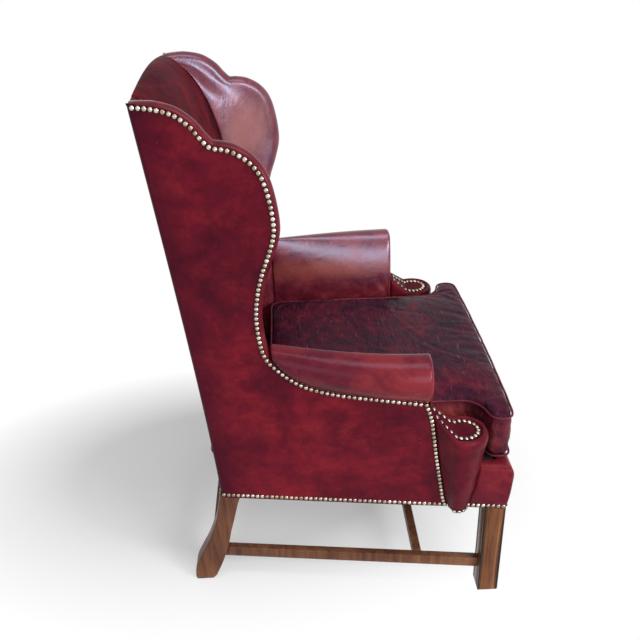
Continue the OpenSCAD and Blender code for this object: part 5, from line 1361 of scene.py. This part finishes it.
teeth_row = link_piece("cushion_zip_teeth", result, zip_steel)
for face in result.polygons:
    face.use_smooth = False
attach(teeth_row, "seat_cushion")
slider_x = 0.1705
slider = [(y, zip_z, rounded_box(-0.0052, 0.0052, -w, w, 0.0015))
          for y, w in ((0.0004, 0.0042), (0.0030, 0.0042), (0.0036, 0.0034))]
pull = [(y, zip_z - 0.010, rounded_box(-0.0026, 0.0026, -0.011, 0.009, 0.002)) for y in (0.0040, 0.0050)]
for name, levels in (("cushion_zip_slider", slider), ("cushion_zip_pull", pull)):
    rings = [[(slider_x + x, zip_face + y, mid + z) for x, z in box] for y, mid, box in levels]
    piece = link_piece(name, outward(mesh_from(name, *skin_rings(rings))), zip_steel)
    soften_edges(piece, 0.0003)
    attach(piece, "seat_cushion")
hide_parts("cushion_zip")


# Studio: a plain pale floor that runs out to white, soft windows above the chair, before it and on
# its near side, and two weak fills from behind.
def seen_by_view(mat):
    rays = add_node(mat, "LightPath").outputs
    seen = calc(mat, "ADD", rays["Is Camera Ray"], rays["Is Glossy Ray"])
    return calc(mat, "MINIMUM", calc(mat, "ADD", seen, rays["Is Transmission Ray"]), 1.0)


floor_mesh = bpy.data.meshes.new("floor")
floor_mesh.from_pydata([(-6, -6, 0), (6, -6, 0), (6, 6, 0), (-6, 6, 0)], [], [(0, 1, 2, 3)])
floor = bpy.data.objects.new("floor", floor_mesh)
scene.collection.objects.link(floor)
paint, shader = new_material("floor paint", Roughness=0.9, Specular_IOR_Level=0.1)
shader["Base Color"].default_value = (0.78, 0.78, 0.79, 1)
floor_mesh.materials.append(paint)
offset = add_node(paint, "VectorMath", {"operation": "DISTANCE"}, Vector=place(paint, (1.5, 1, 1)))
offset.inputs[1].default_value = (0.20, 0.28, 0)
far = between(paint, offset.outputs["Value"], 0.45, 0.88, 0.27, 1.0)
glow = add_node(paint, "Emission", Color=(1, 1, 1, 1), Strength=1.0)
fade = add_node(paint, "MixShader", Fac=calc(paint, "MULTIPLY", far, seen_by_view(paint)))
put(paint, fade.inputs[1], paint.node_tree.nodes["Principled BSDF"].outputs[0])
put(paint, fade.inputs[2], glow.outputs[0])
put(paint, paint.node_tree.nodes["Material Output"].inputs["Surface"], fade.outputs[0])
floor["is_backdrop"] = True

world = bpy.data.worlds.new("studio")
scene.world = world
world.use_nodes = True
background = world.node_tree.nodes["Background"]
background.inputs["Color"].default_value = (1.0, 1.0, 1.0, 1)
put(world, background.inputs["Strength"], calc(world, "MULTIPLY_ADD", seen_by_view(world), 0.65, 0.35))


def soft_lamp(name, at, aim, width, height, level):
    data = bpy.data.lights.new(name, "AREA")
    data.shape = "RECTANGLE"
    data.size = width
    data.size_y = height
    data.energy = level * width * height * math.pi
    lamp = bpy.data.objects.new(name, data)
    scene.collection.objects.link(lamp)
    turned = (Vector(aim) - Vector(at)).to_track_quat("-Z", "Y")
    lamp.matrix_world = Matrix.Translation(at) @ turned.to_matrix().to_4x4()


wing_face, arm_face, seat = (0.27, 0.20, 1.03), (0.29, 0.0, 0.6), (0, 0, 0.6)
soft_lamp("roof window", (-0.75, -0.25, 2.85), (-0.2, -0.1, 0.5), 2.0, 0.8, 5.0)
soft_lamp("front window", (-1.85, -1.70, 1.62), wing_face, 1.00, 0.85, 20.0)
soft_lamp("side window", (-2.50, -0.85, 1.25), arm_face, 1.2, 1.0, 5.5)
soft_lamp("side fill", (-2.9, 1.5, 1.2), seat, 1.6, 1.4, 1.4)
soft_lamp("far fill", (2.8, 1.4, 2.0), seat, 1.8, 1.6, 0.9)
scene.view_settings.view_transform = "Standard"

low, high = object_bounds()
